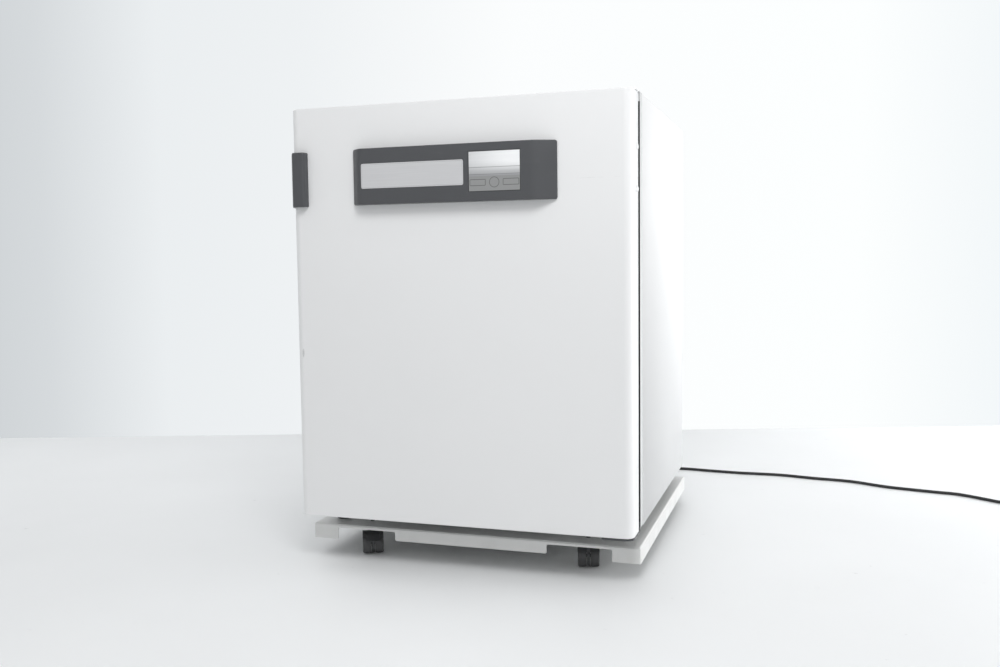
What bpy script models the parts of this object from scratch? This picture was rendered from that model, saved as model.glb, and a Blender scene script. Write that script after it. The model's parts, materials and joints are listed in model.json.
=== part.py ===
"""Carbon dioxide incubator on a low roller base, as an assembly of separate solids.

Metres, +Z up. The front of the cabinet looks along -Y, +X is the hinge side of both doors, and the
origin is on the floor under the middle of the machine.
"""
import math

import bmesh
import bpy
from mathutils import Matrix, Vector

# Clearances
FIT = 0.0003  # between faces that touch on the real machine
RUN = 0.0004  # radial, round a pin that turns
CUT = 0.02  # how far a cutter runs past the face that it opens

# Cabinet
CABINET_W = 0.780
CABINET_Z0 = 0.111
CABINET_OVER_DOOR = 0.006  # how far its top stands above the door's
CABINET_BACK_Y = 0.348
SHEET = 0.0015
CASING_BEND_R = 0.005
CASING_FLANGE = 0.014
PAN_CORNER_R = 0.003
FRONT_FRAME_Y = -0.333
FRONT_FRAME_D = 0.027
FRONT_FRAME_CORNER_R = 0.004
BASE_PAN_EDGE_H = 0.016

# Outer door
DOOR_FRONT_Y = -0.420
DOOR_T = 0.064
DOOR_Z0 = 0.110
DOOR_H = 0.930
DOOR_EDGE_R = 0.020
DOOR_TOP_EDGE_R = 0.002
DOOR_RECESS_D = 0.021
DOOR_RECESS_SIDE = 0.049  # width of the liner's rim at the sides
DOOR_RECESS_END = 0.105  # and at the top and bottom
DOOR_RECESS_R = 0.030
DOOR_RECESS_FILLET = 0.012

# Door gasket, a bellows ring in the gap behind the door
GASKET_INSET = 0.018
GASKET_W = 0.020
GASKET_CORNER_R = 0.024

# Hinges of the outer door
HINGE_IN_FROM_SIDE = 0.016
HINGE_IN_FROM_REAR = 0.020
HINGE_PIN_R = 0.005
HINGE_PIN_L = 0.012
HINGE_PLATE_T = 0.0034
HINGE_PLATE_W = 0.070
HINGE_PLATE_FRONT_INSET = 0.006
HINGE_FLANGE_H = 0.022
HINGE_PLATE_GAP = 0.0024  # between the door's end and the plate
HINGE_CORNER_R = 0.014
HINGE_FLANGE_T = 0.003
HINGE_SIDE_INSET = 0.001

# Handle and display on the door
HANDLE_BELOW_TOP = 0.220  # from the door's top to the handle's foot
HANDLE_H = 0.121
HANDLE_PROUD = 0.020
HANDLE_IN = 0.046  # how far it reaches in from the door's left side
HANDLE_LIP_OUT = 0.014  # how far its lip stands out from that side
HANDLE_LIP_BACK = 0.045  # and how far back from the door's front
HANDLE_LIP_T = 0.0034
HANDLE_WRAP = math.radians(20)  # where the lip leaves the door's rounded edge
HANDLE_DRAFT = 0.002
HANDLE_NOSE_X = 0.0125  # where its front face ends, in from the door's side
HANDLE_NOSE_R = 0.014
HANDLE_EDGE_R = 0.0025
HANDLE_END_R = 0.0012
DISPLAY_W = 0.466
DISPLAY_BELOW_TOP = 0.220
DISPLAY_H = 0.122
DISPLAY_PROUD = 0.025
DISPLAY_SIDE_T = 0.004
DISPLAY_RAMP_LEFT = 0.023
DISPLAY_RAMP_RIGHT = 0.043
DISPLAY_EDGE_R = 0.0016
DISPLAY_BEND_R = 0.012
SCREEN_W = 0.115
SCREEN_H = 0.085
SCREEN_X = 0.1025
SCREEN_UP = 0.062  # from the display's foot to the screen's middle
SCREEN_T = 0.004
SCREEN_SUNK = 0.0008
PLATE_W = 0.238
PLATE_H = 0.054
PLATE_X = -0.0855
PLATE_UP = 0.0615
PLATE_T = 0.0012
PLATE_SUNK = 0.0004
PLATE_R = 0.004

# Chamber, a deep-drawn liner
CHAMBER_SIDE_WALL = 0.0865  # from the cabinet's side
CHAMBER_ROOF_WALL = 0.128  # from the door's top
CHAMBER_D = 0.600
CHAMBER_Z0 = 0.245
CHAMBER_R = 0.042
CHAMBER_BACK_R = 0.030
CHAMBER_FLANGE = 0.011
CHAMBER_GASKET_R = 0.0042
INSULATION_GAP = 0.004
MOTOR_GAP = 0.002

# Glass door
GLASS_T = 0.006
GLASS_OVERLAP = 0.0125  # over the chamber's mouth on each side
GLASS_CORNER_R = 0.006
GLASS_HINGE_OUT = 0.0195  # from the chamber's wall to the hinge line
GLASS_TUBE_R = 0.0055
GLASS_PIN_R = 0.0025
GLASS_PIN_L = 0.012
GLASS_RAIL_T = 0.002
GLASS_RAIL_W = 0.022
GLASS_LUG_T = 0.004
GLASS_LUG_R = 0.006
GLASS_LUG_GAP = 0.0006
GLASS_BASE_HALF_W = 0.010
GLASS_BASE_H = 0.012
KNOB_R = 0.011
KNOB_L = 0.016
STRIKE_W = 0.032
STRIKE_H = 0.046
STRIKE_T = 0.0016
STRIKE_OUT = 0.0155  # from the chamber's wall to the strike plate's middle
MAGNET_W = 0.016
MAGNET_H = 0.040

# Shelves and their racks
SHELF_COUNT = 3
SHELF_SIDE_GAP = 0.0195
SHELF_D = 0.455
SHELF_FRONT_Y = -0.292
SHELF_SHEET = 0.0015
SHELF_CORNER_R = 0.010
SHELF_BEND_R = 0.003
SHELF_EDGE_H = 0.014
SHELF_FIRST_Z = 0.400
SHELF_PITCH = 0.150
SHELF_SLOT_ROWS = 6
SHELF_SLOT_COLUMNS = 2
SHELF_SLOT_W = 0.012
SHELF_SLOT_MARGIN = 0.040
SHELF_SLOT_BRIDGE = 0.036
RACK_POST_W = 0.022
RACK_T = 0.005
RACK_RUNNER_W = 0.022
RACK_RUNNER_H = 0.004
RACK_BAR_RISE = 0.003  # how far a cross-bar stands above its runner
RACK_END_GAP = 0.050  # from the chamber's floor and roof
RACK_SLOT_W = 0.008
RACK_SLOT_H = 0.005
RACK_SLOT_PITCH = 0.075

# Air duct, fan, filter and sensor at the back of the chamber
DUCT_W = 0.260
DUCT_D = 0.050
DUCT_Z0 = 0.300
DUCT_BELOW_ROOF = 0.034
DUCT_SHEET = 0.0015
DUCT_R = 0.020
DUCT_EDGE_R = 0.008
OUTLET_COUNT = 6
OUTLET_H = 0.008
OUTLET_PITCH = 0.018
FAN_BELOW_ROOF = 0.122
FAN_R = 0.055
FAN_OFF_BACK = 0.010  # from the chamber's back to the wheel's back plate
FAN_W = 0.022
FAN_BLADES = 9
FAN_BLADE_T = 0.0016
FAN_BLADE_IN = 0.024
FAN_BLADE_SWEEP = math.radians(55)
FAN_BLADE_STEPS = 2
FAN_HUB_R = 0.014
FAN_HUB_L = 0.0154
FAN_NOSE_T = 0.0024  # the hub's closed nose over the end of the shaft
FAN_INLET_R = 0.038
MOTOR_R = 0.036
MOTOR_L = 0.050
SHAFT_R = 0.004
SHAFT_END_GAP = 0.0005
FILTER_R = 0.070
FILTER_T = 0.026
FILTER_PLEATS = 16
FILTER_PLEAT_DEPTH = 0.006
SENSOR_IN = 0.0885  # from the chamber's wall
SENSOR_R = 0.007
SENSOR_L = 0.055
RESERVOIR_COVER_H = 0.022
RESERVOIR_COVER_MARGIN = 0.044
RESERVOIR_SLOT_BAND = 0.120
RESERVOIR_SLOT_ROWS = 3

# Rear of the cabinet
REAR_BOX_IN = 0.030  # from the cabinet's sides
REAR_BOX_Z0 = 0.165
REAR_BOX_BELOW_TOP = 0.061
REAR_DEPTH = 0.097
REAR_BOX_R = 0.014
REAR_EDGE_R = 0.010
VENT_COUNT = 9
VENT_W = 0.300
VENT_H = 0.006
VENT_PITCH = 0.016
VENT_BELOW_TOP = 0.246
SUPPLY_W = 0.260
SUPPLY_H = 0.090
SUPPLY_IN = 0.170  # from the rear box's side to the panel's middle
SUPPLY_Z = 0.250
SUPPLY_T = 0.024
SUPPLY_SUNK = 0.001
SUPPLY_EDGE_R = 0.001
INLET_D = 0.018
INLET_CORNER_R = 0.002
INLET_OFF = 0.060  # from the supply panel's middle
SWITCH_W = 0.014
SWITCH_H = 0.022
SWITCH_OFF = 0.014
SWITCH_RISE = 0.001
SWITCH_ANGLE = math.radians(18)
SWITCH_END_GAP = 0.0012
SWITCH_WELL_D = 0.012
GAS_BARB_OFF = (-0.095, -0.055)
GAS_BARB_R = 0.0045
GAS_BARB_L = 0.008
PORT_IN = 0.1035  # from the chamber's wall
PORT_Z = 0.640
PORT_R = 0.021
PORT_WALL = 0.003
PORT_INSIDE = 0.004
PORT_FLANGE_R = 0.034
PORT_FLANGE_T = 0.003
PLUG_L = 0.030
PLUG_HEAD_L = 0.004
PLUG_HEAD_R = 0.026

# Roller base
BASE_OUT = 0.0035  # how far its sides stand out from the cabinet's
BASE_FRONT_Y = -0.351
BASE_BACK_Y = 0.372
BASE_TOP_Z = 0.073
BASE_SHEET = 0.002
BASE_BOTTOM_Z = 0.0375
BASE_MIDDLE_Z = 0.0440
NOTCH_IN = 0.0625  # from the base's side
NOTCH_W = 0.148
NOTCH_TOP_Z = 0.065
NOTCH_R = 0.004
BASE_OPEN_W = 0.400
BASE_OPEN_MARGIN = 0.116
BASE_OPEN_R = 0.012
BASE_LIP_H = 0.012
BASE_CORNER_R = 0.003

# Casters
CASTER_SIDE_IN = 0.1275  # from the base frame's sides to the swivel axes
CASTER_IN = 0.054  # from the base frame's ends to the swivel axes
CASTER_TRAIL = 0.020
WHEEL_R = 0.025
WHEEL_W = 0.020
WHEEL_GAP = 0.0006
WHEEL_CROWN = 0.0025
WEB_T = 0.008
AXLE_R = 0.004
HUB_R = 0.009
RIM_T = 0.003
DISH_D = 0.003
AXLE_SHORT = 0.001  # from the wheels' outer faces
HOOD_R = 0.0275
HOOD_T = 0.0018
HOOD_FROM = math.radians(35)
HOOD_TO = math.radians(150)
WEB_IN_HOOD = math.radians(3)  # the web stops this short of the hood's ends
STEM_R = 0.005
COLLAR_R = 0.012
COLLAR_Z = 0.062
STEM_PROUD = 0.004
PEDAL_W = 0.030
PEDAL_T = 0.003
PEDAL_L = 0.024
PEDAL_AT = math.radians(41)  # round the wheels, from behind
PEDAL_OUT = 0.035
PEDAL_DOWN = math.radians(-25)
PEDAL_EAR_T = 0.002
PEDAL_EAR_R = 0.0046
PEDAL_PIN_R = 0.0014
# Caster angle from straight ahead, as they stand: front left, front right, back left, back right
CASTER_TURNS = (math.radians(-154), math.radians(13), math.radians(35), math.radians(-60))

# Levelling feet
FOOT_IN = 0.045  # from the cabinet's sides and back, and from the front frame
FOOT_R = 0.018
FOOT_PAD_T = 0.012
FOOT_STEM_R = 0.005
FOOT_STEM_IN_PAN = 0.006

# Mains lead
LEAD_R = 0.00425
CONNECTOR_W = 0.026
CONNECTOR_H = 0.018
CONNECTOR_L = 0.034
CONNECTOR_IN = 0.014
BOOT_R = 0.0065
BOOT_L = 0.028
COIL_R = 0.049  # at the middle of its turns
COIL_LANES = 2  # turns side by side
COIL_LAYERS = 2
COIL_CENTRE = (1.3271, 0.5819)
COIL_LEAVES_AT = math.radians(30)
COIL_TO_PLUG = 0.0304  # along the lead, from where it leaves the coil to the plug's boot
PLUG_R = 0.018
PLUG_BODY_L = 0.034
PLUG_PIN_R = 0.0024
PLUG_PIN_L = 0.019
PLUG_PIN_SPACING = 0.019
PLUG_BOOT_L = 0.026
LEAD_SPACING = 0.0255
# The lead's fall behind the cabinet, its first numbers from the inlet, then its way to the coil
LEAD_DROP = (
    (0.0, 0.512, 0.250), (0.0, 0.541, 0.245), (-0.001, 0.570, 0.225), (-0.004, 0.594, 0.186),
    (-0.009, 0.609, 0.137), (-0.017, 0.621, 0.086), (-0.028, 0.638, 0.040), (-0.040, 0.664, 0.012),
    (-0.046, 0.700, 0.0052),
)
LEAD_ON_FLOOR = (
    (0.217, 0.745), (0.262, 0.785), (0.335, 0.798), (0.423, 0.788), (0.513, 0.780), (0.580, 0.781),
    (0.648, 0.780), (0.746, 0.759), (0.853, 0.742), (0.955, 0.693), (1.078, 0.662), (1.149, 0.645),
    (1.239, 0.580), (1.2714, 0.5564),
)

# Derived places
DOOR_REAR_Y = DOOR_FRONT_Y + DOOR_T
DOOR_Z1 = DOOR_Z0 + DOOR_H
CABINET_Z1 = DOOR_Z1 + CABINET_OVER_DOOR
DOOR_MID_Z = DOOR_Z0 + DOOR_H / 2
HINGE_X = CABINET_W / 2 - HINGE_IN_FROM_SIDE
HINGE_Y = DOOR_REAR_Y - HINGE_IN_FROM_REAR
CASING_FRONT_Y = FRONT_FRAME_Y + FRONT_FRAME_D + FIT
HANDLE_Z0 = DOOR_Z1 - HANDLE_BELOW_TOP
DISPLAY_Z0 = DOOR_Z1 - DISPLAY_BELOW_TOP
SCREEN_Z = DISPLAY_Z0 + SCREEN_UP
PLATE_Z = DISPLAY_Z0 + PLATE_UP
CHAMBER_W = CABINET_W - 2 * CHAMBER_SIDE_WALL
CHAMBER_Z1 = DOOR_Z1 - CHAMBER_ROOF_WALL
CHAMBER_MID_Z = (CHAMBER_Z0 + CHAMBER_Z1) / 2
FLANGE_Y = FRONT_FRAME_Y - FIT  # back of the liner's flange
FLANGE_FRONT_Y = FLANGE_Y - SHEET
CHAMBER_BACK_Y = FLANGE_FRONT_Y + CHAMBER_D
GLASS_BACK_Y = FLANGE_FRONT_Y - FIT - 2 * CHAMBER_GASKET_R - FIT
GLASS_FRONT_Y = GLASS_BACK_Y - GLASS_T
GLASS_MID_Y = GLASS_BACK_Y - GLASS_T / 2
GLASS_HINGE_X = CHAMBER_W / 2 + GLASS_HINGE_OUT
STRIKE_X = -CHAMBER_W / 2 - STRIKE_OUT
GLASS_Z0 = CHAMBER_Z0 - GLASS_OVERLAP
GLASS_Z1 = CHAMBER_Z1 + GLASS_OVERLAP
SHELF_W = CHAMBER_W - 2 * SHELF_SIDE_GAP
DUCT_FRONT_Y = CHAMBER_BACK_Y - DUCT_D
DUCT_Z1 = CHAMBER_Z1 - DUCT_BELOW_ROOF
FAN_Y = CHAMBER_BACK_Y - FAN_OFF_BACK
SHAFT_IN = SHEET + FIT + FAN_OFF_BACK + FAN_HUB_L - FAN_NOSE_T - SHAFT_END_GAP
FAN_Z = CHAMBER_Z1 - FAN_BELOW_ROOF
SENSOR_X = CHAMBER_W / 2 - SENSOR_IN
SENSOR_Z = FAN_Z
PORT_X = PORT_IN - CHAMBER_W / 2
REAR_Y = CABINET_BACK_Y + REAR_DEPTH
REAR_BOX_W = CABINET_W - 2 * REAR_BOX_IN
REAR_BOX_Z1 = CABINET_Z1 - REAR_BOX_BELOW_TOP
VENT_Z = CABINET_Z1 - VENT_BELOW_TOP
SUPPLY_X = REAR_BOX_W / 2 - SUPPLY_IN
INLET_X = SUPPLY_X + INLET_OFF
SWITCH_X = SUPPLY_X + SWITCH_OFF
SUPPLY_FACE_Y = REAR_Y - SUPPLY_SUNK
BASE_W = CABINET_W + 2 * BASE_OUT
NOTCH_X1 = BASE_W / 2 - NOTCH_IN
NOTCH_X0 = NOTCH_X1 - NOTCH_W
CASTER_X = BASE_W / 2 - CASTER_SIDE_IN
FOOT_X = CABINET_W / 2 - FOOT_IN
FOOT_FRONT_Y = FRONT_FRAME_Y + FOOT_IN
FOOT_BACK_Y = CABINET_BACK_Y - FOOT_IN
CASTER_NAMES = ("front_left", "front_right", "back_left", "back_right")
CASTER_PLACES = [
    (x, y) for y in (BASE_FRONT_Y + CASTER_IN, BASE_BACK_Y - CASTER_IN) for x in (-CASTER_X, CASTER_X)
]
PEDAL_PIVOT = (CASTER_TRAIL + PEDAL_OUT * math.cos(PEDAL_AT), WHEEL_R + PEDAL_OUT * math.sin(PEDAL_AT))

# Modelling
CORNER_STEPS = 3  # facets in a quarter turn
SIDES = 20  # facets round a turned piece

FINISHES = {  # colour, roughness, metallic
    "white_enamel": ((0.84, 0.85, 0.85), 0.35, 0.0),
    "grey_frame": ((0.62, 0.63, 0.63), 0.45, 0.0),
    "charcoal_moulding": ((0.098, 0.102, 0.109), 0.42, 0.0),
    "silver_plate": ((0.62, 0.63, 0.64), 0.35, 1.0),
    "display_glass": ((0.40, 0.405, 0.41), 0.12, 0.0),
    "stainless": ((0.60, 0.60, 0.59), 0.28, 1.0),
    "galvanised": ((0.52, 0.53, 0.54), 0.45, 1.0),
    "silicone": ((0.75, 0.75, 0.74), 0.6, 0.0),
    "black_rubber": ((0.03, 0.03, 0.03), 0.7, 0.0),
    "clear_glass": ((0.86, 0.92, 0.90), 0.03, 0.0),
    "foam": ((0.80, 0.74, 0.55), 0.9, 0.0),
    "black_moulding": ((0.03, 0.03, 0.032), 0.45, 0.0),
    "grey_moulding": ((0.35, 0.36, 0.37), 0.45, 0.0),
    "dark_moulding": ((0.050, 0.052, 0.054), 0.46, 0.0),
    "base_enamel": ((0.74, 0.745, 0.735), 0.42, 0.0),
    "filter_paper": ((0.88, 0.88, 0.85), 0.85, 0.0),
}

AXIS_TURNS = {"X": (0, math.pi / 2, 0), "Y": (-math.pi / 2, 0, 0), "Z": (0, 0, 0)}
OUTLINE_FRAMES = {  # where the first, second and extruded direction of an outline point
    "X": Matrix(((0, 0, 1, 0), (1, 0, 0, 0), (0, 1, 0, 0), (0, 0, 0, 1))),
    "Y": Matrix(((1, 0, 0, 0), (0, 0, -1, 0), (0, 1, 0, 0), (0, 0, 0, 1))),
    "Z": Matrix.Identity(4),
}

for leftover in list(bpy.data.objects):
    bpy.data.objects.remove(leftover, do_unlink=True)
PARTS = bpy.data.collections.new("co2_incubator")
CUTTERS = bpy.data.collections.new("cutters")
for collection in (PARTS, CUTTERS):
    bpy.context.scene.collection.children.link(collection)


def principled(name, finish):
    colour, roughness, metallic = FINISHES[finish]
    material = bpy.data.materials.new(f"{name} {finish}")
    material.use_nodes = True
    shader = material.node_tree.nodes["Principled BSDF"]
    shader.inputs["Base Color"].default_value = (*colour, 1)
    shader.inputs["Roughness"].default_value = roughness
    shader.inputs["Metallic"].default_value = metallic
    material.diffuse_color = (*colour, 1)
    return material


def new_object(name, data, finish):
    """A part with its own material or, without a finish, a cutter."""
    obj = bpy.data.objects.new(name, data)
    if finish is None:
        CUTTERS.objects.link(obj)
        obj.hide_render = True
        obj.display_type = "WIRE"
        return obj
    PARTS.objects.link(obj)
    data.materials.clear()
    data.materials.append(principled(name, finish))
    return obj


def mesh_object(name, bm, finish):
    mesh = bpy.data.meshes.new(name)
    bm.to_mesh(mesh)
    bm.free()
    return new_object(name, mesh, finish)


def evaluated_mesh(obj):
    """The object's shape with its modifiers applied, its doubles welded and its faces pointing out."""
    bpy.context.view_layer.update()
    graph = bpy.context.evaluated_depsgraph_get()
    mesh = bpy.data.meshes.new_from_object(obj.evaluated_get(graph))
    bm = bmesh.new()
    bm.from_mesh(mesh)
    bmesh.ops.remove_doubles(bm, verts=bm.verts, dist=1e-6)
    bmesh.ops.recalc_face_normals(bm, faces=bm.faces)
    bm.to_mesh(mesh)
    bm.free()
    return mesh


def baked(obj):
    """The evaluated mesh of a pattern piece, which is removed together with its cutters."""
    mesh = evaluated_mesh(obj)
    mesh.materials.clear()
    for used in [m.object for m in obj.modifiers if m.type == "BOOLEAN"] + [obj]:
        bpy.data.objects.remove(used, do_unlink=True)
    return mesh


def box(name, low, high, finish=None):
    size = Vector(high) - Vector(low)
    middle = Matrix.Translation((Vector(high) + Vector(low)) / 2)
    bm = bmesh.new()
    bmesh.ops.create_cube(bm, size=1, matrix=middle @ Matrix.Diagonal((*size, 1)))
    return mesh_object(name, bm, finish)


def rod(name, start, end, radius, finish=None, end_radius=None, segments=SIDES):
    """A cylinder, or a cone with another radius at its end, between two points."""
    along = Vector(end) - Vector(start)
    frame = along.to_track_quat("Z", "Y").to_matrix().to_4x4()
    frame.translation = (Vector(start) + Vector(end)) / 2
    bm = bmesh.new()
    bmesh.ops.create_cone(
        bm, cap_ends=True, segments=segments, radius1=radius, depth=along.length, matrix=frame,
        radius2=radius if end_radius is None else end_radius,
    )
    return mesh_object(name, bm, finish)


def arc(centre, radius, start, end, steps):
    """Points on an arc between two angles, both ends included."""
    angles = [start + (end - start) * i / steps for i in range(steps + 1)]
    return [(centre[0] + radius * math.cos(a), centre[1] + radius * math.sin(a)) for a in angles]


def rounded(corners, steps=CORNER_STEPS, closed=True):
    """An outline through corners (x, y, radius), each rounded by an arc of that radius."""
    points = []
    for i, (x, y, radius) in enumerate(corners):
        here = Vector((x, y))
        if radius == 0 or (not closed and i in (0, len(corners) - 1)):
            points.append((x, y))
            continue
        before = (Vector(corners[i - 1][:2]) - here).normalized()
        after = (Vector(corners[(i + 1) % len(corners)][:2]) - here).normalized()
        half = before.angle(after) / 2
        centre = here + (before + after).normalized() * (radius / math.sin(half))
        first = here + before * (radius / math.tan(half)) - centre
        last = here + after * (radius / math.tan(half)) - centre
        start = math.atan2(first.y, first.x)
        sweep = (math.atan2(last.y, last.x) - start + math.pi) % (2 * math.pi) - math.pi
        points += arc(centre, radius, start, start + sweep, steps)
    return points


def rectangle(x0, x1, y0, y1, radius=0, steps=CORNER_STEPS):
    return rounded([(x, y, radius) for x, y in ((x0, y0), (x1, y0), (x1, y1), (x0, y1))], steps)


def circle(x, y, radius, steps=16):
    return arc((x, y), radius, 0, 2 * math.pi * (1 - 1 / steps), steps - 1)


def upright(outline, y):
    """An outline in the plane of the cabinet's front, at one depth."""
    return [(x, y, z) for x, z in outline]


def level(outline, z):
    return [(x, y, z) for x, y in outline]


def loft(name, rings, finish=None, closed=True, first_cap=False, last_cap=False, looped=False):
    """A skin over rings of equally many points; looped joins the last ring to the first."""
    bm = bmesh.new()
    rows = [[bm.verts.new(point) for point in ring] for ring in rings]
    for lower, upper in list(zip(rows, rows[1:])) + ([(rows[-1], rows[0])] if looped else []):
        for i in range(0 if closed else 1, len(lower)):
            bm.faces.new((lower[i - 1], lower[i], upper[i], upper[i - 1]))
    if first_cap:
        bm.faces.new(reversed(rows[0]))
    if last_cap:
        bm.faces.new(rows[-1])
    return mesh_object(name, bm, finish)


def prism(name, loops, low, high, axis="Z", finish=None):
    """A flat outline, its holes as further loops, extruded from low to high along an axis."""
    curve = bpy.data.curves.new(name, "CURVE")
    curve.dimensions = "2D"
    curve.fill_mode = "BOTH"
    curve.extrude = (high - low) / 2
    for loop in loops:
        spline = curve.splines.new("POLY")
        spline.points.add(len(loop) - 1)
        for point, (u, v) in zip(spline.points, loop):
            point.co = (u, v, 0, 1)
        spline.use_cyclic_u = True
    flat = bpy.data.objects.new(f"{name}_outline", curve)
    CUTTERS.objects.link(flat)
    mesh = evaluated_mesh(flat)
    direction = Vector([float(axis == letter) for letter in "XYZ"])
    middle = Matrix.Translation(direction * (low + high) / 2)
    mesh.transform(middle @ OUTLINE_FRAMES[axis])
    bpy.data.objects.remove(flat, do_unlink=True)
    return new_object(name, mesh, finish)


def turned(name, profile, at, axis="Z", finish=None, closed=False, steps=SIDES, reverse=False):
    """A profile of (radius, height) points turned round an axis through a point."""
    area = sum(a[0] * b[1] - b[0] * a[1] for a, b in zip(profile, profile[1:] + profile[:1]))
    points = profile if area < 0 else profile[::-1]  # so that the outer side runs top to bottom
    mesh = bpy.data.meshes.new(name)
    edges = [(i, i + 1) for i in range(len(points) - 1)] + ([(len(points) - 1, 0)] if closed else [])
    mesh.from_pydata([(radius, 0, height) for radius, height in points], edges, [])
    obj = new_object(name, mesh, finish)
    screw = obj.modifiers.new("Turn", "SCREW")
    screw.steps = screw.render_steps = steps
    screw.use_merge_vertices = True
    screw.merge_threshold = 0.00005
    obj.location = at
    obj.rotation_euler = AXIS_TURNS[axis]
    if reverse:
        obj.rotation_euler = [-angle for angle in AXIS_TURNS[axis]]
    return obj


def tube(name, points, radius, finish, cyclic=False):
    curve = bpy.data.curves.new(name, "CURVE")
    curve.dimensions = "3D"
    curve.bevel_depth = radius
    curve.bevel_resolution = 2
    curve.use_fill_caps = True
    spline = curve.splines.new("POLY")
    spline.points.add(len(points) - 1)
    for point, place in zip(spline.points, points):
        point.co = (*place, 1)
    spline.use_cyclic_u = cyclic
    return new_object(name, curve, finish)


def thicken(obj, thickness, side=-1):
    """A wall on one side of a sheet: -1 is behind its faces, 1 in front of them."""
    solidify = obj.modifiers.new("Wall", "SOLIDIFY")
    solidify.thickness = thickness
    solidify.offset = side
    solidify.use_even_offset = True


def bevel(obj, width, segments):
    modifier = obj.modifiers.new("Edges", "BEVEL")
    modifier.width = width
    modifier.segments = segments
    modifier.limit_method = "ANGLE"
    modifier.angle_limit = math.radians(40)


def combine(obj, operation, others):
    for other in others:
        modifier = obj.modifiers.new(other.name, "BOOLEAN")
        modifier.operation = operation
        modifier.object = other
    return obj


def cut(obj, *cutters):
    return combine(obj, "DIFFERENCE", cutters)


def fuse(obj, *others):
    return combine(obj, "UNION", others)


def joint_empty(name, at, parent=None, turn=0.0):
    """The axis that a moving piece hangs on."""
    empty = bpy.data.objects.new(name, None)
    empty.empty_display_size = 0.03
    empty.location = at
    empty.rotation_euler.z = turn
    empty.parent = parent
    PARTS.objects.link(empty)
    return empty


def hang(obj, empty):
    """Parents a piece that was modelled in place to a joint's empty, which is not turned."""
    base = Vector(empty.location)
    if obj.type == "MESH" and obj.location.length == 0:
        obj.data.transform(Matrix.Translation(-base))
    else:
        obj.location -= base
    obj.parent = empty
    for modifier in obj.modifiers:
        if modifier.type == "BOOLEAN" and modifier.object.parent is None:
            hang(modifier.object, empty)
    return obj


def smooth(obj):
    if obj.type == "MESH":
        obj.data.shade_smooth()
        obj.data.set_sharp_from_angle(angle=math.radians(35))


# Cabinet


def outer_casing():
    """Top and sides folded from one sheet, with a flange turned in at the back."""
    def section(inset, bend):
        x, top = CABINET_W / 2 - inset, CABINET_Z1 - inset
        corners = [(-x, CABINET_Z0, 0), (-x, top, bend), (x, top, bend), (x, CABINET_Z0, 0)]
        return rounded(corners, closed=False)

    outer = section(0, CASING_BEND_R)
    flange = section(CASING_FLANGE, CASING_BEND_R / 4)
    rings = [upright(outer, CASING_FRONT_Y), upright(outer, CABINET_BACK_Y), upright(flange, CABINET_BACK_Y)]
    casing = loft("outer_casing", rings, "white_enamel", closed=False)
    thicken(casing, SHEET)


def base_pan():
    """The cabinet's floor, with turned-up edges and a clearance hole for each foot's stem."""
    x = CABINET_W / 2 - SHEET - FIT
    outline = rectangle(-x, x, CASING_FRONT_Y + FIT, CABINET_BACK_Y - SHEET - FIT, PAN_CORNER_R)
    rings = [level(outline, CABINET_Z0 + BASE_PAN_EDGE_H), level(outline, CABINET_Z0)]
    pan = loft("base_pan", rings, "galvanised", last_cap=True)
    thicken(pan, SHEET, side=1)
    places = [(x, y) for x in (-FOOT_X, FOOT_X) for y in (FOOT_FRONT_Y, FOOT_BACK_Y)]
    holes = [circle(x, y, FOOT_STEM_R + RUN, 12) for x, y in places]
    cut(pan, prism("foot_holes", holes, CABINET_Z0 - CUT, CABINET_Z0 + BASE_PAN_EDGE_H / 2))


def chamber_outline(out, steps=CORNER_STEPS):
    """The chamber's cross-section, moved out by a distance all round."""
    x = CHAMBER_W / 2 + out
    return rectangle(-x, x, CHAMBER_Z0 - out, CHAMBER_Z1 + out, CHAMBER_R + out, steps)


def front_frame():
    """The frame round the chamber's mouth, which both doors close on."""
    x = CABINET_W / 2
    outer = rectangle(-x, x, CABINET_Z0, CABINET_Z1, FRONT_FRAME_CORNER_R)
    mouth = chamber_outline(SHEET + FIT)
    prism("front_frame", [outer, mouth], FRONT_FRAME_Y, FRONT_FRAME_Y + FRONT_FRAME_D, "Y", "grey_frame")


def insulation_jacket():
    """Foam round the chamber, with a well for the motor and a hole for the access port."""
    x = CABINET_W / 2 - SHEET - FIT
    low, high = CABINET_Z0 + BASE_PAN_EDGE_H + FIT, CABINET_Z1 - SHEET - FIT
    back = CABINET_BACK_Y - SHEET - FIT
    cavity_back = CHAMBER_BACK_Y + SHEET + INSULATION_GAP
    outline = rectangle(-x, x, low, high, CASING_BEND_R)
    jacket = prism("insulation_jacket", [outline], CASING_FRONT_Y, back, "Y", "foam")
    cavity = chamber_outline(SHEET + INSULATION_GAP)
    near, far = cavity_back - CUT, back + CUT
    cut(
        jacket,
        prism("chamber_cavity", [cavity], CASING_FRONT_Y - CUT, cavity_back, "Y"),
        rod("motor_well", (0, near, FAN_Z), (0, far, FAN_Z), MOTOR_R + MOTOR_GAP),
        rod("port_well", (PORT_X, near, PORT_Z), (PORT_X, far, PORT_Z), PORT_R + PORT_WALL + FIT),
    )


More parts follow.
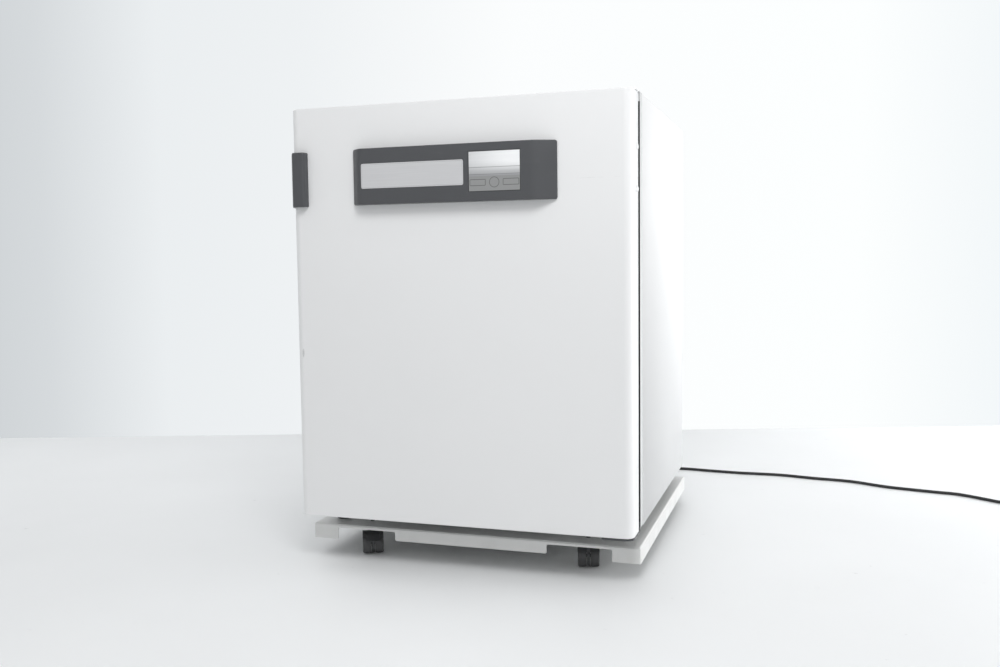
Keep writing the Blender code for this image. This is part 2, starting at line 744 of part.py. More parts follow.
def chamber_liner():
    """A deep-drawn box with rounded corners and a flange round its mouth."""
    rings = [
        upright(chamber_outline(CHAMBER_FLANGE), FLANGE_FRONT_Y),
        upright(chamber_outline(0), FLANGE_FRONT_Y),
    ]
    for step in range(CORNER_STEPS + 1):
        angle = math.pi / 2 * step / CORNER_STEPS
        inset = CHAMBER_BACK_R * (1 - math.cos(angle))
        depth = CHAMBER_BACK_Y - CHAMBER_BACK_R * (1 - math.sin(angle))
        rings.append(upright(chamber_outline(-inset), depth))
    liner = loft("chamber_liner", rings, "stainless", last_cap=True)
    thicken(liner, SHEET)
    near, far = CHAMBER_BACK_Y - CUT / 4, CHAMBER_BACK_Y + CUT
    cut(
        liner,
        rod("shaft_hole", (0, near, FAN_Z), (0, far, FAN_Z), SHAFT_R + RUN),
        rod("port_hole", (PORT_X, near, PORT_Z), (PORT_X, far, PORT_Z), PORT_R + PORT_WALL + FIT),
    )


def chamber_gasket():
    """The round seal that the glass door closes on, along the middle of the liner's flange."""
    ring = upright(chamber_outline(CHAMBER_FLANGE / 2, 4), FLANGE_FRONT_Y - FIT - CHAMBER_GASKET_R)
    tube("chamber_gasket", ring, CHAMBER_GASKET_R, "silicone", cyclic=True)


def rear_cover():
    """A pressed cover over the motor and electrics, with louvres and openings for the port and the panel."""
    x, face = CABINET_W / 2 - SHEET, CABINET_BACK_Y + FIT + SHEET
    box_x = REAR_BOX_W / 2
    rings = [
        upright(rectangle(-x, x, CABINET_Z0 + SHEET, CABINET_Z1 - SHEET, REAR_EDGE_R / 2), face),
        upright(rectangle(-box_x, box_x, REAR_BOX_Z0, REAR_BOX_Z1, REAR_BOX_R), face),
    ]
    for step in range(CORNER_STEPS):
        angle = math.pi / 2 * step / (CORNER_STEPS - 1)
        inset = REAR_EDGE_R * (1 - math.cos(angle))
        outline = rectangle(
            inset - box_x, box_x - inset, REAR_BOX_Z0 + inset, REAR_BOX_Z1 - inset, REAR_BOX_R - inset
        )
        rings.append(upright(outline, REAR_Y - REAR_EDGE_R * (1 - math.sin(angle))))
    cover = loft("rear_cover", rings, "white_enamel", last_cap=True)
    thicken(cover, SHEET, side=1)
    first = VENT_Z - VENT_PITCH * (VENT_COUNT - 1) / 2
    slots = [
        rectangle(-VENT_W / 2, VENT_W / 2, z - VENT_H / 2, z + VENT_H / 2, VENT_H / 2 * 0.9, 1)
        for z in (first + VENT_PITCH * i for i in range(VENT_COUNT))
    ]
    panel = rectangle(
        SUPPLY_X - SUPPLY_W / 2 - FIT, SUPPLY_X + SUPPLY_W / 2 + FIT,
        SUPPLY_Z - SUPPLY_H / 2 - FIT, SUPPLY_Z + SUPPLY_H / 2 + FIT,
    )
    port = circle(PORT_X, PORT_Z, PORT_R + PORT_WALL + FIT, SIDES)
    cut(cover, prism("rear_openings", [*slots, panel, port], REAR_Y - CUT, REAR_Y + CUT, "Y"))


# Fittings of the chamber


def shelf_tops():
    return [SHELF_FIRST_Z + SHELF_PITCH * i for i in range(SHELF_COUNT)]


def shelf_rack(name, side):
    """Two slotted posts joined by cross-bars, with a runner under each shelf."""
    wall = side * (CHAMBER_W / 2 - FIT)
    inner = wall - side * RACK_T
    low, high = CHAMBER_Z0 + RACK_END_GAP, CHAMBER_Z1 - RACK_END_GAP
    front, back = SHELF_FRONT_Y + FIT, SHELF_FRONT_Y + SHELF_D
    bars = [z - SHELF_EDGE_H - FIT + RACK_BAR_RISE - RACK_POST_W / 2 for z in shelf_tops()]
    edges = [low + RACK_POST_W / 2] + bars + [high - RACK_POST_W / 2]
    loops = [rectangle(front, back, low, high, RACK_T)]
    for below, above in zip(edges, edges[1:]):
        loops.append(rectangle(
            front + RACK_POST_W, back - RACK_POST_W,
            below + RACK_POST_W / 2, above - RACK_POST_W / 2, RACK_T, 1,
        ))
    slot_count = int((high - low - RACK_SLOT_PITCH) / RACK_SLOT_PITCH)
    for y in (front + RACK_POST_W / 2, back - RACK_POST_W / 2):
        for i in range(slot_count):
            z = low + RACK_SLOT_PITCH * (i + 0.5)
            loops.append(rectangle(y - RACK_SLOT_W / 2, y + RACK_SLOT_W / 2, z, z + RACK_SLOT_H))
    rack = prism(name, loops, min(wall, inner), max(wall, inner), "X", "stainless")
    runners = []
    for number, top in enumerate(shelf_tops(), 1):
        near, far = wall - side * RACK_T / 2, inner - side * RACK_RUNNER_W
        z = top - SHELF_EDGE_H - FIT
        low_corner = (min(near, far), front + RACK_T / 2, z - RACK_RUNNER_H)
        high_corner = (max(near, far), back - RACK_T / 2, z)
        runners.append(box(f"{name}_runner_{number}", low_corner, high_corner))
    fuse(rack, *runners)
    for modifier in rack.modifiers:
        modifier.solver = "MANIFOLD"  # the exact solver leaves open edges at the slots


def pressed_tray(name, x, front, back, top, edge_h, corner_r, bend_r, sheet, finish):
    """A flat sheet with rounded corners and its edges bent down."""
    rings = [level(rectangle(-x, x, front, back, corner_r), top - edge_h)]
    for step in range(CORNER_STEPS):
        angle = math.pi / 2 * step / (CORNER_STEPS - 1)
        inset = bend_r * (1 - math.cos(angle))
        outline = rectangle(inset - x, x - inset, front + inset, back - inset, corner_r - inset)
        rings.append(level(outline, top - bend_r * (1 - math.sin(angle))))
    tray = loft(name, rings, finish, last_cap=True)
    thicken(tray, sheet)
    return tray


def slot_grid(x, front, back, rows, columns, margin, bridge, width):
    """Slots with round ends in rows from front to back, with solid bridges between columns."""
    length = (2 * (x - margin) - bridge * (columns - 1)) / columns
    loops = []
    for row in range(rows):
        y = front + margin + (back - front - 2 * margin) * row / (rows - 1)
        for column in range(columns):
            start = -x + margin + column * (length + bridge)
            loops.append(rectangle(start, start + length, y - width / 2, y + width / 2, width / 2 * 0.9, 1))
    return loops


def shelves():
    """Perforated shelves that slide forward on their runners."""
    x, back = SHELF_W / 2, SHELF_FRONT_Y + SHELF_D
    loops = slot_grid(
        x, SHELF_FRONT_Y, back, SHELF_SLOT_ROWS, SHELF_SLOT_COLUMNS,
        SHELF_SLOT_MARGIN, SHELF_SLOT_BRIDGE, SHELF_SLOT_W,
    )
    pattern = pressed_tray(
        "shelf", x, SHELF_FRONT_Y, back, 0, SHELF_EDGE_H, SHELF_CORNER_R, SHELF_BEND_R, SHELF_SHEET, None
    )
    cut(pattern, prism("shelf_slots", loops, -SHELF_EDGE_H / 2, CUT))
    mesh = baked(pattern)
    for number, top in enumerate(shelf_tops(), 1):
        empty = joint_empty(f"shelf_{number}_slide", (0, SHELF_FRONT_Y, top))
        shelf = new_object(f"shelf_{number}", mesh.copy(), "stainless")
        shelf.location = (0, -SHELF_FRONT_Y, 0)
        shelf.parent = empty


def humidity_cover():
    """A slotted cover over the water reservoir in the chamber's floor."""
    x = CHAMBER_W / 2 - RESERVOIR_COVER_MARGIN
    front, back = SHELF_FRONT_Y, CHAMBER_BACK_Y - RESERVOIR_COVER_MARGIN
    top = CHAMBER_Z0 + RESERVOIR_COVER_H
    cover = pressed_tray(
        "humidity_cover", x, front, back, top, RESERVOIR_COVER_H - FIT,
        SHELF_CORNER_R, SHELF_BEND_R, SHEET, "stainless",
    )
    loops = slot_grid(
        x, back - RESERVOIR_SLOT_BAND, back, RESERVOIR_SLOT_ROWS, SHELF_SLOT_COLUMNS,
        SHELF_SLOT_MARGIN, SHELF_SLOT_BRIDGE, SHELF_SLOT_W / 2,
    )
    cut(cover, prism("reservoir_slots", loops, top - RESERVOIR_COVER_H / 2, top + CUT))


def air_baffle():
    """The duct over the fan: air enters through the filter and leaves low down."""
    x, base = DUCT_W / 2, CHAMBER_BACK_Y - FIT
    rings = [upright(rectangle(-x, x, DUCT_Z0, DUCT_Z1, DUCT_R), base)]
    for step in range(CORNER_STEPS):
        angle = math.pi / 2 * step / (CORNER_STEPS - 1)
        inset = DUCT_EDGE_R * (1 - math.cos(angle))
        outline = rectangle(inset - x, x - inset, DUCT_Z0 + inset, DUCT_Z1 - inset, DUCT_R - inset)
        rings.append(upright(outline, DUCT_FRONT_Y + DUCT_EDGE_R * (1 - math.sin(angle))))
    baffle = loft("air_baffle", rings, "stainless", last_cap=True)
    thicken(baffle, DUCT_SHEET)
    width = DUCT_W - 4 * DUCT_R
    outlets = []
    for i in range(OUTLET_COUNT):
        z = DUCT_Z0 + 2 * DUCT_R + OUTLET_PITCH * i
        outlets.append(rectangle(-width / 2, width / 2, z, z + OUTLET_H, OUTLET_H / 2 * 0.9, 1))
    inlet = circle(0, FAN_Z, FAN_INLET_R, SIDES)
    cut(baffle, prism("duct_openings", [*outlets, inlet], DUCT_FRONT_Y - CUT, DUCT_FRONT_Y + CUT / 2, "Y"))


def hepa_filter():
    """A pleated ring between two end plates, open behind to the duct's inlet."""
    back = DUCT_FRONT_Y - FIT
    front = back - FILTER_T
    plate = FILTER_T * 0.12
    count = 2 * FILTER_PLEATS

    def ring(radius, y, depth=0.0):
        points = []
        for i in range(count):
            reach = radius - depth * (i % 2)
            angle = 2 * math.pi * i / count
            points.append((reach * math.cos(angle), y, FAN_Z + reach * math.sin(angle)))
        return points

    bore, pleat = FAN_INLET_R - plate, FILTER_R - plate / 2
    rings = [
        ring(bore, front + plate), ring(bore, back), ring(FILTER_R, back), ring(FILTER_R, back - plate),
        ring(pleat, back - plate, FILTER_PLEAT_DEPTH), ring(pleat, front + plate, FILTER_PLEAT_DEPTH),
        ring(FILTER_R, front + plate), ring(FILTER_R, front),
    ]
    loft("hepa_filter", rings, "filter_paper", first_cap=True, last_cap=True)


def fan_motor():
    """The motor behind the chamber, its shaft through the liner's back."""
    profile = [
        (0, -SHAFT_IN), (SHAFT_R, -SHAFT_IN), (SHAFT_R, 0), (MOTOR_R, 0), (MOTOR_R, MOTOR_L * 0.12),
        (MOTOR_R * 0.82, MOTOR_L * 0.16), (MOTOR_R * 0.82, MOTOR_L * 0.86),
        (MOTOR_R * 0.7, MOTOR_L), (0, MOTOR_L),
    ]
    turned("fan_motor", profile, (0, CHAMBER_BACK_Y + SHEET + FIT, FAN_Z), "Y", "galvanised")


def fan_wheel():
    """A backward-curved fan: blades between a back plate with a closed hub and a front ring."""
    empty = joint_empty("fan_spin", (0, FAN_Y, FAN_Z))
    bore, bore_end = SHAFT_R + RUN, FAN_HUB_L - FAN_NOSE_T
    hub = [
        (0, bore_end), (bore, bore_end), (bore, 0), (FAN_R, 0), (FAN_R, FAN_BLADE_T),
        (FAN_HUB_R, FAN_BLADE_T), (FAN_HUB_R * 0.8, FAN_HUB_L), (0, FAN_HUB_L),
    ]
    wheel = turned("fan_wheel", hub, (0, 0, 0), "Y", "black_moulding", reverse=True)
    front_ring = [
        (FAN_INLET_R, FAN_W - FAN_BLADE_T), (FAN_R, FAN_W - FAN_BLADE_T), (FAN_R, FAN_W), (FAN_INLET_R, FAN_W)
    ]
    ring = turned("fan_front_ring", front_ring, (0, 0, 0), "Y", closed=True, reverse=True)
    blades = []
    for i in range(FAN_BLADES):
        inner, outer = [], []
        for step in range(FAN_BLADE_STEPS + 1):
            part = step / FAN_BLADE_STEPS
            radius = FAN_BLADE_IN + (FAN_R - FAN_BLADE_T - FAN_BLADE_IN) * part
            angle = 2 * math.pi * i / FAN_BLADES - FAN_BLADE_SWEEP * part
            side = FAN_BLADE_T / 2 / radius
            inner.append((radius * math.cos(angle - side), radius * math.sin(angle - side)))
            outer.append((radius * math.cos(angle + side), radius * math.sin(angle + side)))
        blades.append(inner + outer[::-1])
    blade_set = prism("fan_blades", blades, FAN_BLADE_T / 2 - FAN_W, -FAN_BLADE_T / 2, "Y")
    for piece in (wheel, ring, blade_set):
        piece.parent = empty
    fuse(wheel, blade_set, ring)


def sensor_probe():
    """A probe for temperature and carbon dioxide, screwed to the chamber's back."""
    profile = [
        (0, 0), (SENSOR_R * 1.8, 0), (SENSOR_R * 1.8, SENSOR_R * 0.5), (SENSOR_R, SENSOR_R * 0.6),
        (SENSOR_R, SENSOR_L * 0.5), (SENSOR_R * 0.86, SENSOR_L * 0.53),
        (SENSOR_R * 0.86, SENSOR_L * 0.92), (SENSOR_R * 0.5, SENSOR_L), (0, SENSOR_L),
    ]
    at = (SENSOR_X, CHAMBER_BACK_Y - FIT, SENSOR_Z)
    turned("sensor_probe", profile, at, "Y", "stainless", steps=12, reverse=True)


# Rear fittings


def supply_panel():
    """The panel with the mains inlet, the switch's recess and two gas connections."""
    low = (SUPPLY_X - SUPPLY_W / 2, SUPPLY_FACE_Y - SUPPLY_T, SUPPLY_Z - SUPPLY_H / 2)
    high = (SUPPLY_X + SUPPLY_W / 2, SUPPLY_FACE_Y, SUPPLY_Z + SUPPLY_H / 2)
    panel = box("supply_panel", low, high, "grey_moulding")
    bevel(panel, SUPPLY_EDGE_R, 1)
    inlet = rectangle(
        INLET_X - CONNECTOR_W / 2 - FIT, INLET_X + CONNECTOR_W / 2 + FIT,
        SUPPLY_Z - CONNECTOR_H / 2 - FIT, SUPPLY_Z + CONNECTOR_H / 2 + FIT, INLET_CORNER_R, 2,
    )
    well = rectangle(
        SWITCH_X - SWITCH_W / 2 - FIT, SWITCH_X + SWITCH_W / 2 + FIT,
        SUPPLY_Z - SWITCH_H / 2 - FIT, SUPPLY_Z + SWITCH_H / 2 + FIT,
    )
    cut(
        panel,
        prism("inlet_recess", [inlet], SUPPLY_FACE_Y - INLET_D, SUPPLY_FACE_Y + CUT, "Y"),
        prism("switch_well", [well], SUPPLY_FACE_Y - SWITCH_WELL_D, SUPPLY_FACE_Y + CUT, "Y"),
    )
    ridges = [
        (0, -GAS_BARB_R), (GAS_BARB_R * 1.5, -GAS_BARB_R), (GAS_BARB_R * 1.5, GAS_BARB_L * 0.3),
        (GAS_BARB_R * 0.7, GAS_BARB_L * 0.3), (GAS_BARB_R, GAS_BARB_L * 0.5),
        (GAS_BARB_R * 0.75, GAS_BARB_L), (0, GAS_BARB_L),
    ]
    for number, x in enumerate([SUPPLY_X + off for off in GAS_BARB_OFF], 1):
        fuse(panel, turned(f"gas_barb_{number}", ridges, (x, SUPPLY_FACE_Y, SUPPLY_Z), "Y", steps=10))


def mains_switch():
    """A rocker that tips by its own range between its two ends."""
    half = SWITCH_H / 2 - SWITCH_END_GAP
    rise = half * math.tan(SWITCH_ANGLE / 2)
    back = arc((0, 0), SWITCH_WELL_D * 0.8, math.radians(205), math.radians(335), 6)
    front = [(half, SWITCH_RISE + rise), (0, SWITCH_RISE), (-half, SWITCH_RISE + rise)]
    # The profile is drawn as (z, y), so it is turned to (y, z) for the extrusion along X.
    outline = [(y, z) for z, y in front + back]
    rocker = prism("mains_switch", [outline], -SWITCH_W / 2 + FIT, SWITCH_W / 2 - FIT, "X", "black_moulding")
    bevel(rocker, FIT * 2, 1)
    empty = joint_empty("mains_switch_rocker", (SWITCH_X, SUPPLY_FACE_Y - SWITCH_RISE, SUPPLY_Z))
    rocker.parent = empty
    rocker.rotation_euler.x = -SWITCH_ANGLE / 2


def access_port():
    """A sleeve from the chamber to the outside for sensor cables, with a flange at the back."""
    length = REAR_Y + FIT - CHAMBER_BACK_Y + PORT_INSIDE
    outer, flange = PORT_R + PORT_WALL, length + PORT_FLANGE_T
    profile = [
        (PORT_R, 0), (outer, 0), (outer, length), (PORT_FLANGE_R, length),
        (PORT_FLANGE_R - FIT * 2, flange), (PORT_R + FIT * 2, flange), (PORT_R, flange - FIT * 2),
    ]
    at = (PORT_X, CHAMBER_BACK_Y - PORT_INSIDE, PORT_Z)
    turned("access_port", profile, at, "Y", "stainless", closed=True)


def port_plug():
    """A silicone stopper, pulled straight out of the port."""
    face = REAR_Y + FIT + PORT_FLANGE_T + FIT
    body = PORT_R - RUN
    profile = [
        (0, -PLUG_L), (body * 0.9, -PLUG_L), (body, 0), (PLUG_HEAD_R, 0),
        (PLUG_HEAD_R * 0.94, PLUG_HEAD_L), (0, PLUG_HEAD_L),
    ]
    empty = joint_empty("port_plug_pull", (PORT_X, face, PORT_Z))
    plug = turned("port_plug", profile, (0, 0, 0), "Y", "silicone")
    plug.parent = empty


# Outer door


def door_path(inset):
    """The door's section seen from above, open at the back, moved in by a distance."""
    x, front = CABINET_W / 2 - inset, DOOR_FRONT_Y + inset
    corners = [
        (-x, DOOR_REAR_Y, 0), (-x, front, DOOR_EDGE_R - inset),
        (x, front, DOOR_EDGE_R - inset), (x, DOOR_REAR_Y, 0),
    ]
    return rounded(corners, steps=5, closed=False)


def door_shell():
    """The door's outer shell: rounded upright edges, a small radius at top and bottom, open behind."""
    rings = []
    for step in range(3):
        angle = math.pi / 2 * step / 2
        inset = DOOR_TOP_EDGE_R * (1 - math.sin(angle))
        rings.append(level(door_path(inset), DOOR_Z0 + DOOR_TOP_EDGE_R * (1 - math.cos(angle))))
    for step in range(3):
        angle = math.pi / 2 * step / 2
        inset = DOOR_TOP_EDGE_R * (1 - math.cos(angle))
        rings.append(level(door_path(inset), DOOR_Z1 - DOOR_TOP_EDGE_R * (1 - math.sin(angle))))
    shell = loft("door_shell", rings, "white_enamel", closed=False, first_cap=True, last_cap=True)
    thicken(shell, SHEET)
    pin_r = HINGE_PIN_R + RUN
    cut(
        shell,
        rod("top_pin_hole", (HINGE_X, HINGE_Y, DOOR_Z1 - CUT), (HINGE_X, HINGE_Y, DOOR_Z1 + CUT), pin_r),
        rod("bottom_pin_hole", (HINGE_X, HINGE_Y, DOOR_Z0 - CUT), (HINGE_X, HINGE_Y, DOOR_Z0 + CUT), pin_r),
    )
    return shell


def door_liner():
    """The door's inner panel, dished inside the gasket to clear the glass door's knob."""
    x, inset = CABINET_W / 2, SHEET + FIT
    rim = rectangle(
        inset - x, x - inset, DOOR_Z0 + inset, DOOR_Z1 - inset, DOOR_TOP_EDGE_R
    )
    rings = [upright(rim, DOOR_REAR_Y)]
    x -= DOOR_RECESS_SIDE
    low, high = DOOR_Z0 + DOOR_RECESS_END, DOOR_Z1 - DOOR_RECESS_END
    rings.append(upright(rectangle(-x, x, low, high, DOOR_RECESS_R), DOOR_REAR_Y))
    for step in range(CORNER_STEPS):
        angle = math.pi / 2 * step / (CORNER_STEPS - 1)
        move = DOOR_RECESS_FILLET * (1 - math.cos(angle))
        outline = rectangle(move - x, x - move, low + move, high - move, DOOR_RECESS_R - move)
        depth = DOOR_RECESS_D - DOOR_RECESS_FILLET * (1 - math.sin(angle))
        rings.append(upright(outline, DOOR_REAR_Y - depth))
    liner = loft("door_liner", rings, "stainless", last_cap=True)
    thicken(liner, SHEET, side=1)
    return liner


def door_gasket():
    """A bellows seal round the door: a foot on the liner, a soft waist and a lip for the frame."""
    back, front = FRONT_FRAME_Y - FIT, DOOR_REAR_Y + FIT
    depth, half = back - front, GASKET_W / 2
    section = [  # distance from the seal's middle line, share of the depth
        (half, 0.0), (half, 0.16), (half * 0.5, 0.30), (half * 0.8, 0.48), (half * 0.5, 0.66),
        (half * 0.95, 0.82), (half * 0.8, 1.0),
    ]
    section += [(-across, share) for across, share in reversed(section)]
    middle = GASKET_INSET + half
    rings = []
    for across, share in reversed(section):
        inset = middle - across
        x = CABINET_W / 2 - inset
        outline = rectangle(
            -x, x, DOOR_Z0 + inset, DOOR_Z1 - inset, GASKET_CORNER_R - inset + GASKET_INSET
        )
        rings.append(upright(outline, front + depth * share))
    return loft("door_gasket", rings, "silicone", looped=True)


def hinge_bracket(name, end_z, up):
    """A plate beyond the door's end with the hinge pin, and a flange on the front frame."""
    near = end_z + up * HINGE_PLATE_GAP
    far = near + up * HINGE_PLATE_T
    x1 = CABINET_W / 2 - HINGE_SIDE_INSET
    x0 = CABINET_W / 2 - HINGE_PLATE_W
    front, back = DOOR_FRONT_Y + HINGE_PLATE_FRONT_INSET, FRONT_FRAME_Y - FIT
    outline = rounded([
        (x0, front, HINGE_CORNER_R / 3), (x1, front, HINGE_CORNER_R), (x1, back, 0), (x0, back, 0)
    ])
    plate = prism(name, [outline], min(near, far), max(near, far), "Z", "galvanised")
    flange_end = far - up * HINGE_FLANGE_H
    flange = box(
        f"{name}_flange", (x0, back - HINGE_FLANGE_T, min(far, flange_end)), (x1, back, max(far, flange_end))
    )
    pin = rod(
        f"{name}_pin", (HINGE_X, HINGE_Y, far - up * HINGE_PLATE_T / 2),
        (HINGE_X, HINGE_Y, near - up * HINGE_PIN_L), HINGE_PIN_R, segments=14,
    )
    fuse(plate, flange, pin)


def door_handle():
    """A moulded grip round the door's left edge, its lip flared off the side for the fingers."""
    side, front = -CABINET_W / 2, DOOR_FRONT_Y
    seat = DOOR_EDGE_R + FIT
    centre = (side + DOOR_EDGE_R, front + DOOR_EDGE_R)
    inner_x, lip_x, lip_y = side + HANDLE_IN, side - HANDLE_LIP_OUT, front + HANDLE_LIP_BACK
    face_y = front - HANDLE_PROUD
    along_door = arc(centre, seat, math.pi + HANDLE_WRAP, math.pi * 1.5, 6)
    outside = rounded([
        (inner_x, front - FIT, 0), (inner_x - HANDLE_DRAFT, face_y, HANDLE_EDGE_R),
        (side + HANDLE_NOSE_X, face_y, HANDLE_EDGE_R * 2),
        (side - HANDLE_LIP_OUT * 0.68, front + DOOR_EDGE_R * 0.95, HANDLE_NOSE_R),
        (lip_x, lip_y, HANDLE_LIP_T * 0.4), (lip_x + HANDLE_LIP_T, lip_y, HANDLE_LIP_T * 0.4),
        (side - HANDLE_LIP_OUT * 0.46, front + DOOR_EDGE_R * 1.1, HANDLE_EDGE_R),
        (*along_door[0], 0),
    ])
    handle = prism(
        "door_handle", [outside[:-1] + along_door], HANDLE_Z0, HANDLE_Z0 + HANDLE_H, "Z", "charcoal_moulding"
    )
    bevel(handle, HANDLE_END_R, 1)
    return handle


def display_housing():
    """A moulding on the door's front with a short ramp at the left, a long one at the right."""
    x0, x1 = -DISPLAY_W / 2, DISPLAY_W / 2
    seat, face = DOOR_FRONT_Y - FIT, DOOR_FRONT_Y - DISPLAY_PROUD
    edge = seat - DISPLAY_SIDE_T
    outline = rounded([
        (x0, seat, 0), (x0, edge, DISPLAY_EDGE_R), (x0 + DISPLAY_RAMP_LEFT, face, DISPLAY_BEND_R),
        (x1 - DISPLAY_RAMP_RIGHT, face, DISPLAY_BEND_R * 3), (x1, edge, DISPLAY_EDGE_R), (x1, seat, 0),
    ])
    housing = prism(
        "display_housing", [outline], DISPLAY_Z0, DISPLAY_Z0 + DISPLAY_H, "Z", "charcoal_moulding"
    )
    bevel(housing, DISPLAY_EDGE_R, 1)
    window = rectangle(
        SCREEN_X - SCREEN_W / 2 - FIT, SCREEN_X + SCREEN_W / 2 + FIT,
        SCREEN_Z - SCREEN_H / 2 - FIT, SCREEN_Z + SCREEN_H / 2 + FIT,
    )
    plate = plate_outline(FIT)
    cut(
        housing,
        prism("screen_pocket", [window], face - CUT, face + SCREEN_SUNK + SCREEN_T + FIT, "Y"),
        prism("plate_pocket", [plate], face - CUT, face + PLATE_SUNK + PLATE_T + FIT, "Y"),
    )
    return housing


def plate_outline(out):
    return rectangle(
        PLATE_X - PLATE_W / 2 - out, PLATE_X + PLATE_W / 2 + out,
        PLATE_Z - PLATE_H / 2 - out, PLATE_Z + PLATE_H / 2 + out, PLATE_R + out,
    )


def display_screen():
    front = DOOR_FRONT_Y - DISPLAY_PROUD + SCREEN_SUNK
    low = (SCREEN_X - SCREEN_W / 2, front, SCREEN_Z - SCREEN_H / 2)
    high = (SCREEN_X + SCREEN_W / 2, front + SCREEN_T, SCREEN_Z + SCREEN_H / 2)
    return box("display_screen", low, high, "display_glass")


def name_plate():
    """The bare silver plate beside the screen."""
    front = DOOR_FRONT_Y - DISPLAY_PROUD + PLATE_SUNK
    return prism("name_plate", [plate_outline(0)], front, front + PLATE_T, "Y", "silver_plate")


def outer_door():
    hinge_bracket("hinge_bracket_top", DOOR_Z1, 1)
    hinge_bracket("hinge_bracket_bottom", DOOR_Z0, -1)
    empty = joint_empty("outer_door_hinge", (HINGE_X, HINGE_Y, DOOR_MID_Z))
    for make in (
        door_shell, door_liner, door_gasket, door_handle, display_housing, display_screen, name_plate
    ):
        hang(make(), empty)


# Glass door


def glass_pane():
    x0, x1 = -CHAMBER_W / 2 - GLASS_OVERLAP, CHAMBER_W / 2 + GLASS_OVERLAP
    outline = rectangle(x0, x1, GLASS_Z0, GLASS_Z1, GLASS_CORNER_R)
    return prism("glass_pane", [outline], GLASS_FRONT_Y, GLASS_BACK_Y, "Y", "clear_glass")


def glass_hinge_rail():
    """A tube for the hinge pins with a strip that clamps the pane's edge."""
    bore = GLASS_PIN_R + RUN
    loops = [
        circle(GLASS_HINGE_X, GLASS_MID_Y, GLASS_TUBE_R), circle(GLASS_HINGE_X, GLASS_MID_Y, bore, 16)
    ]
    rail = prism("glass_hinge_rail", loops, GLASS_Z0, GLASS_Z1, "Z", "stainless")
    strip_back = GLASS_FRONT_Y - FIT
    edge = CHAMBER_W / 2 + GLASS_OVERLAP
    strip = box(
        "rail_strip", (edge - GLASS_RAIL_W, strip_back - GLASS_RAIL_T, GLASS_Z0 + GLASS_CORNER_R),
        (GLASS_HINGE_X, strip_back, GLASS_Z1 - GLASS_CORNER_R),
    )
    return fuse(rail, strip)


def glass_knob():
    """A turned pull knob on the strike plate that the magnet holds."""
    back = GLASS_FRONT_Y - FIT
    x = STRIKE_X
    plate = box(
        "glass_knob", (x - STRIKE_W / 2, back - STRIKE_T, CHAMBER_MID_Z - STRIKE_H / 2),
        (x + STRIKE_W / 2, back, CHAMBER_MID_Z + STRIKE_H / 2), "stainless",
    )
    profile = [
        (0, -STRIKE_T / 2), (KNOB_R * 0.7, -STRIKE_T / 2), (KNOB_R * 0.6, KNOB_L * 0.45),
        (KNOB_R, KNOB_L * 0.7), (KNOB_R, KNOB_L * 0.92), (KNOB_R * 0.86, KNOB_L), (0, KNOB_L),
    ]
    knob = turned(
        "pull_knob", profile, (x, back - STRIKE_T, CHAMBER_MID_Z), "Y", steps=16, reverse=True
    )
    return fuse(plate, knob)


def glass_hinge(name, end_z, up):
    """A block on the front frame with a lug over the rail's end and the pin in it."""
    near = end_z + up * GLASS_LUG_GAP
    far = near + up * GLASS_LUG_T
    back = FRONT_FRAME_Y - FIT
    x0 = CHAMBER_W / 2 + CHAMBER_FLANGE + GLASS_LUG_GAP
    x1 = GLASS_HINGE_X + GLASS_BASE_HALF_W
    block_end = far + up * GLASS_BASE_H
    block = box(
        name, (x0, back - GLASS_LUG_T, min(near, block_end)), (x1, back, max(near, block_end)), "stainless"
    )
    lug = rounded([
        (GLASS_HINGE_X - GLASS_LUG_R, back - GLASS_LUG_T / 2, 0),
        (GLASS_HINGE_X - GLASS_LUG_R, GLASS_MID_Y - GLASS_LUG_R, GLASS_LUG_R * 0.9),
        (GLASS_HINGE_X + GLASS_LUG_R, GLASS_MID_Y - GLASS_LUG_R, GLASS_LUG_R * 0.9),
        (GLASS_HINGE_X + GLASS_LUG_R, back - GLASS_LUG_T / 2, 0),
    ])
    pin = rod(
        f"{name}_pin", (GLASS_HINGE_X, GLASS_MID_Y, (near + far) / 2),
        (GLASS_HINGE_X, GLASS_MID_Y, near - up * GLASS_PIN_L), GLASS_PIN_R, segments=10,
    )
    fuse(block, prism(f"{name}_lug", [lug], min(near, far), max(near, far)), pin)


def glass_catch():
    """The magnet block beside the chamber's mouth, level with the knob."""
    x1 = -CHAMBER_W / 2 - GLASS_OVERLAP - GLASS_LUG_GAP
    block = box(
        "glass_catch", (x1 - MAGNET_W, GLASS_FRONT_Y, CHAMBER_MID_Z - MAGNET_H / 2),
        (x1, FRONT_FRAME_Y - FIT, CHAMBER_MID_Z + MAGNET_H / 2), "black_moulding",
    )
    bevel(block, FIT * 3, 1)


def glass_door():
    glass_hinge("glass_hinge_top", GLASS_Z1, 1)
    glass_hinge("glass_hinge_bottom", GLASS_Z0, -1)
    glass_catch()
    empty = joint_empty("glass_door_hinge", (GLASS_HINGE_X, GLASS_MID_Y, CHAMBER_MID_Z))
    for make in (glass_pane, glass_hinge_rail, glass_knob):
        hang(make(), empty)


# Base, casters and feet


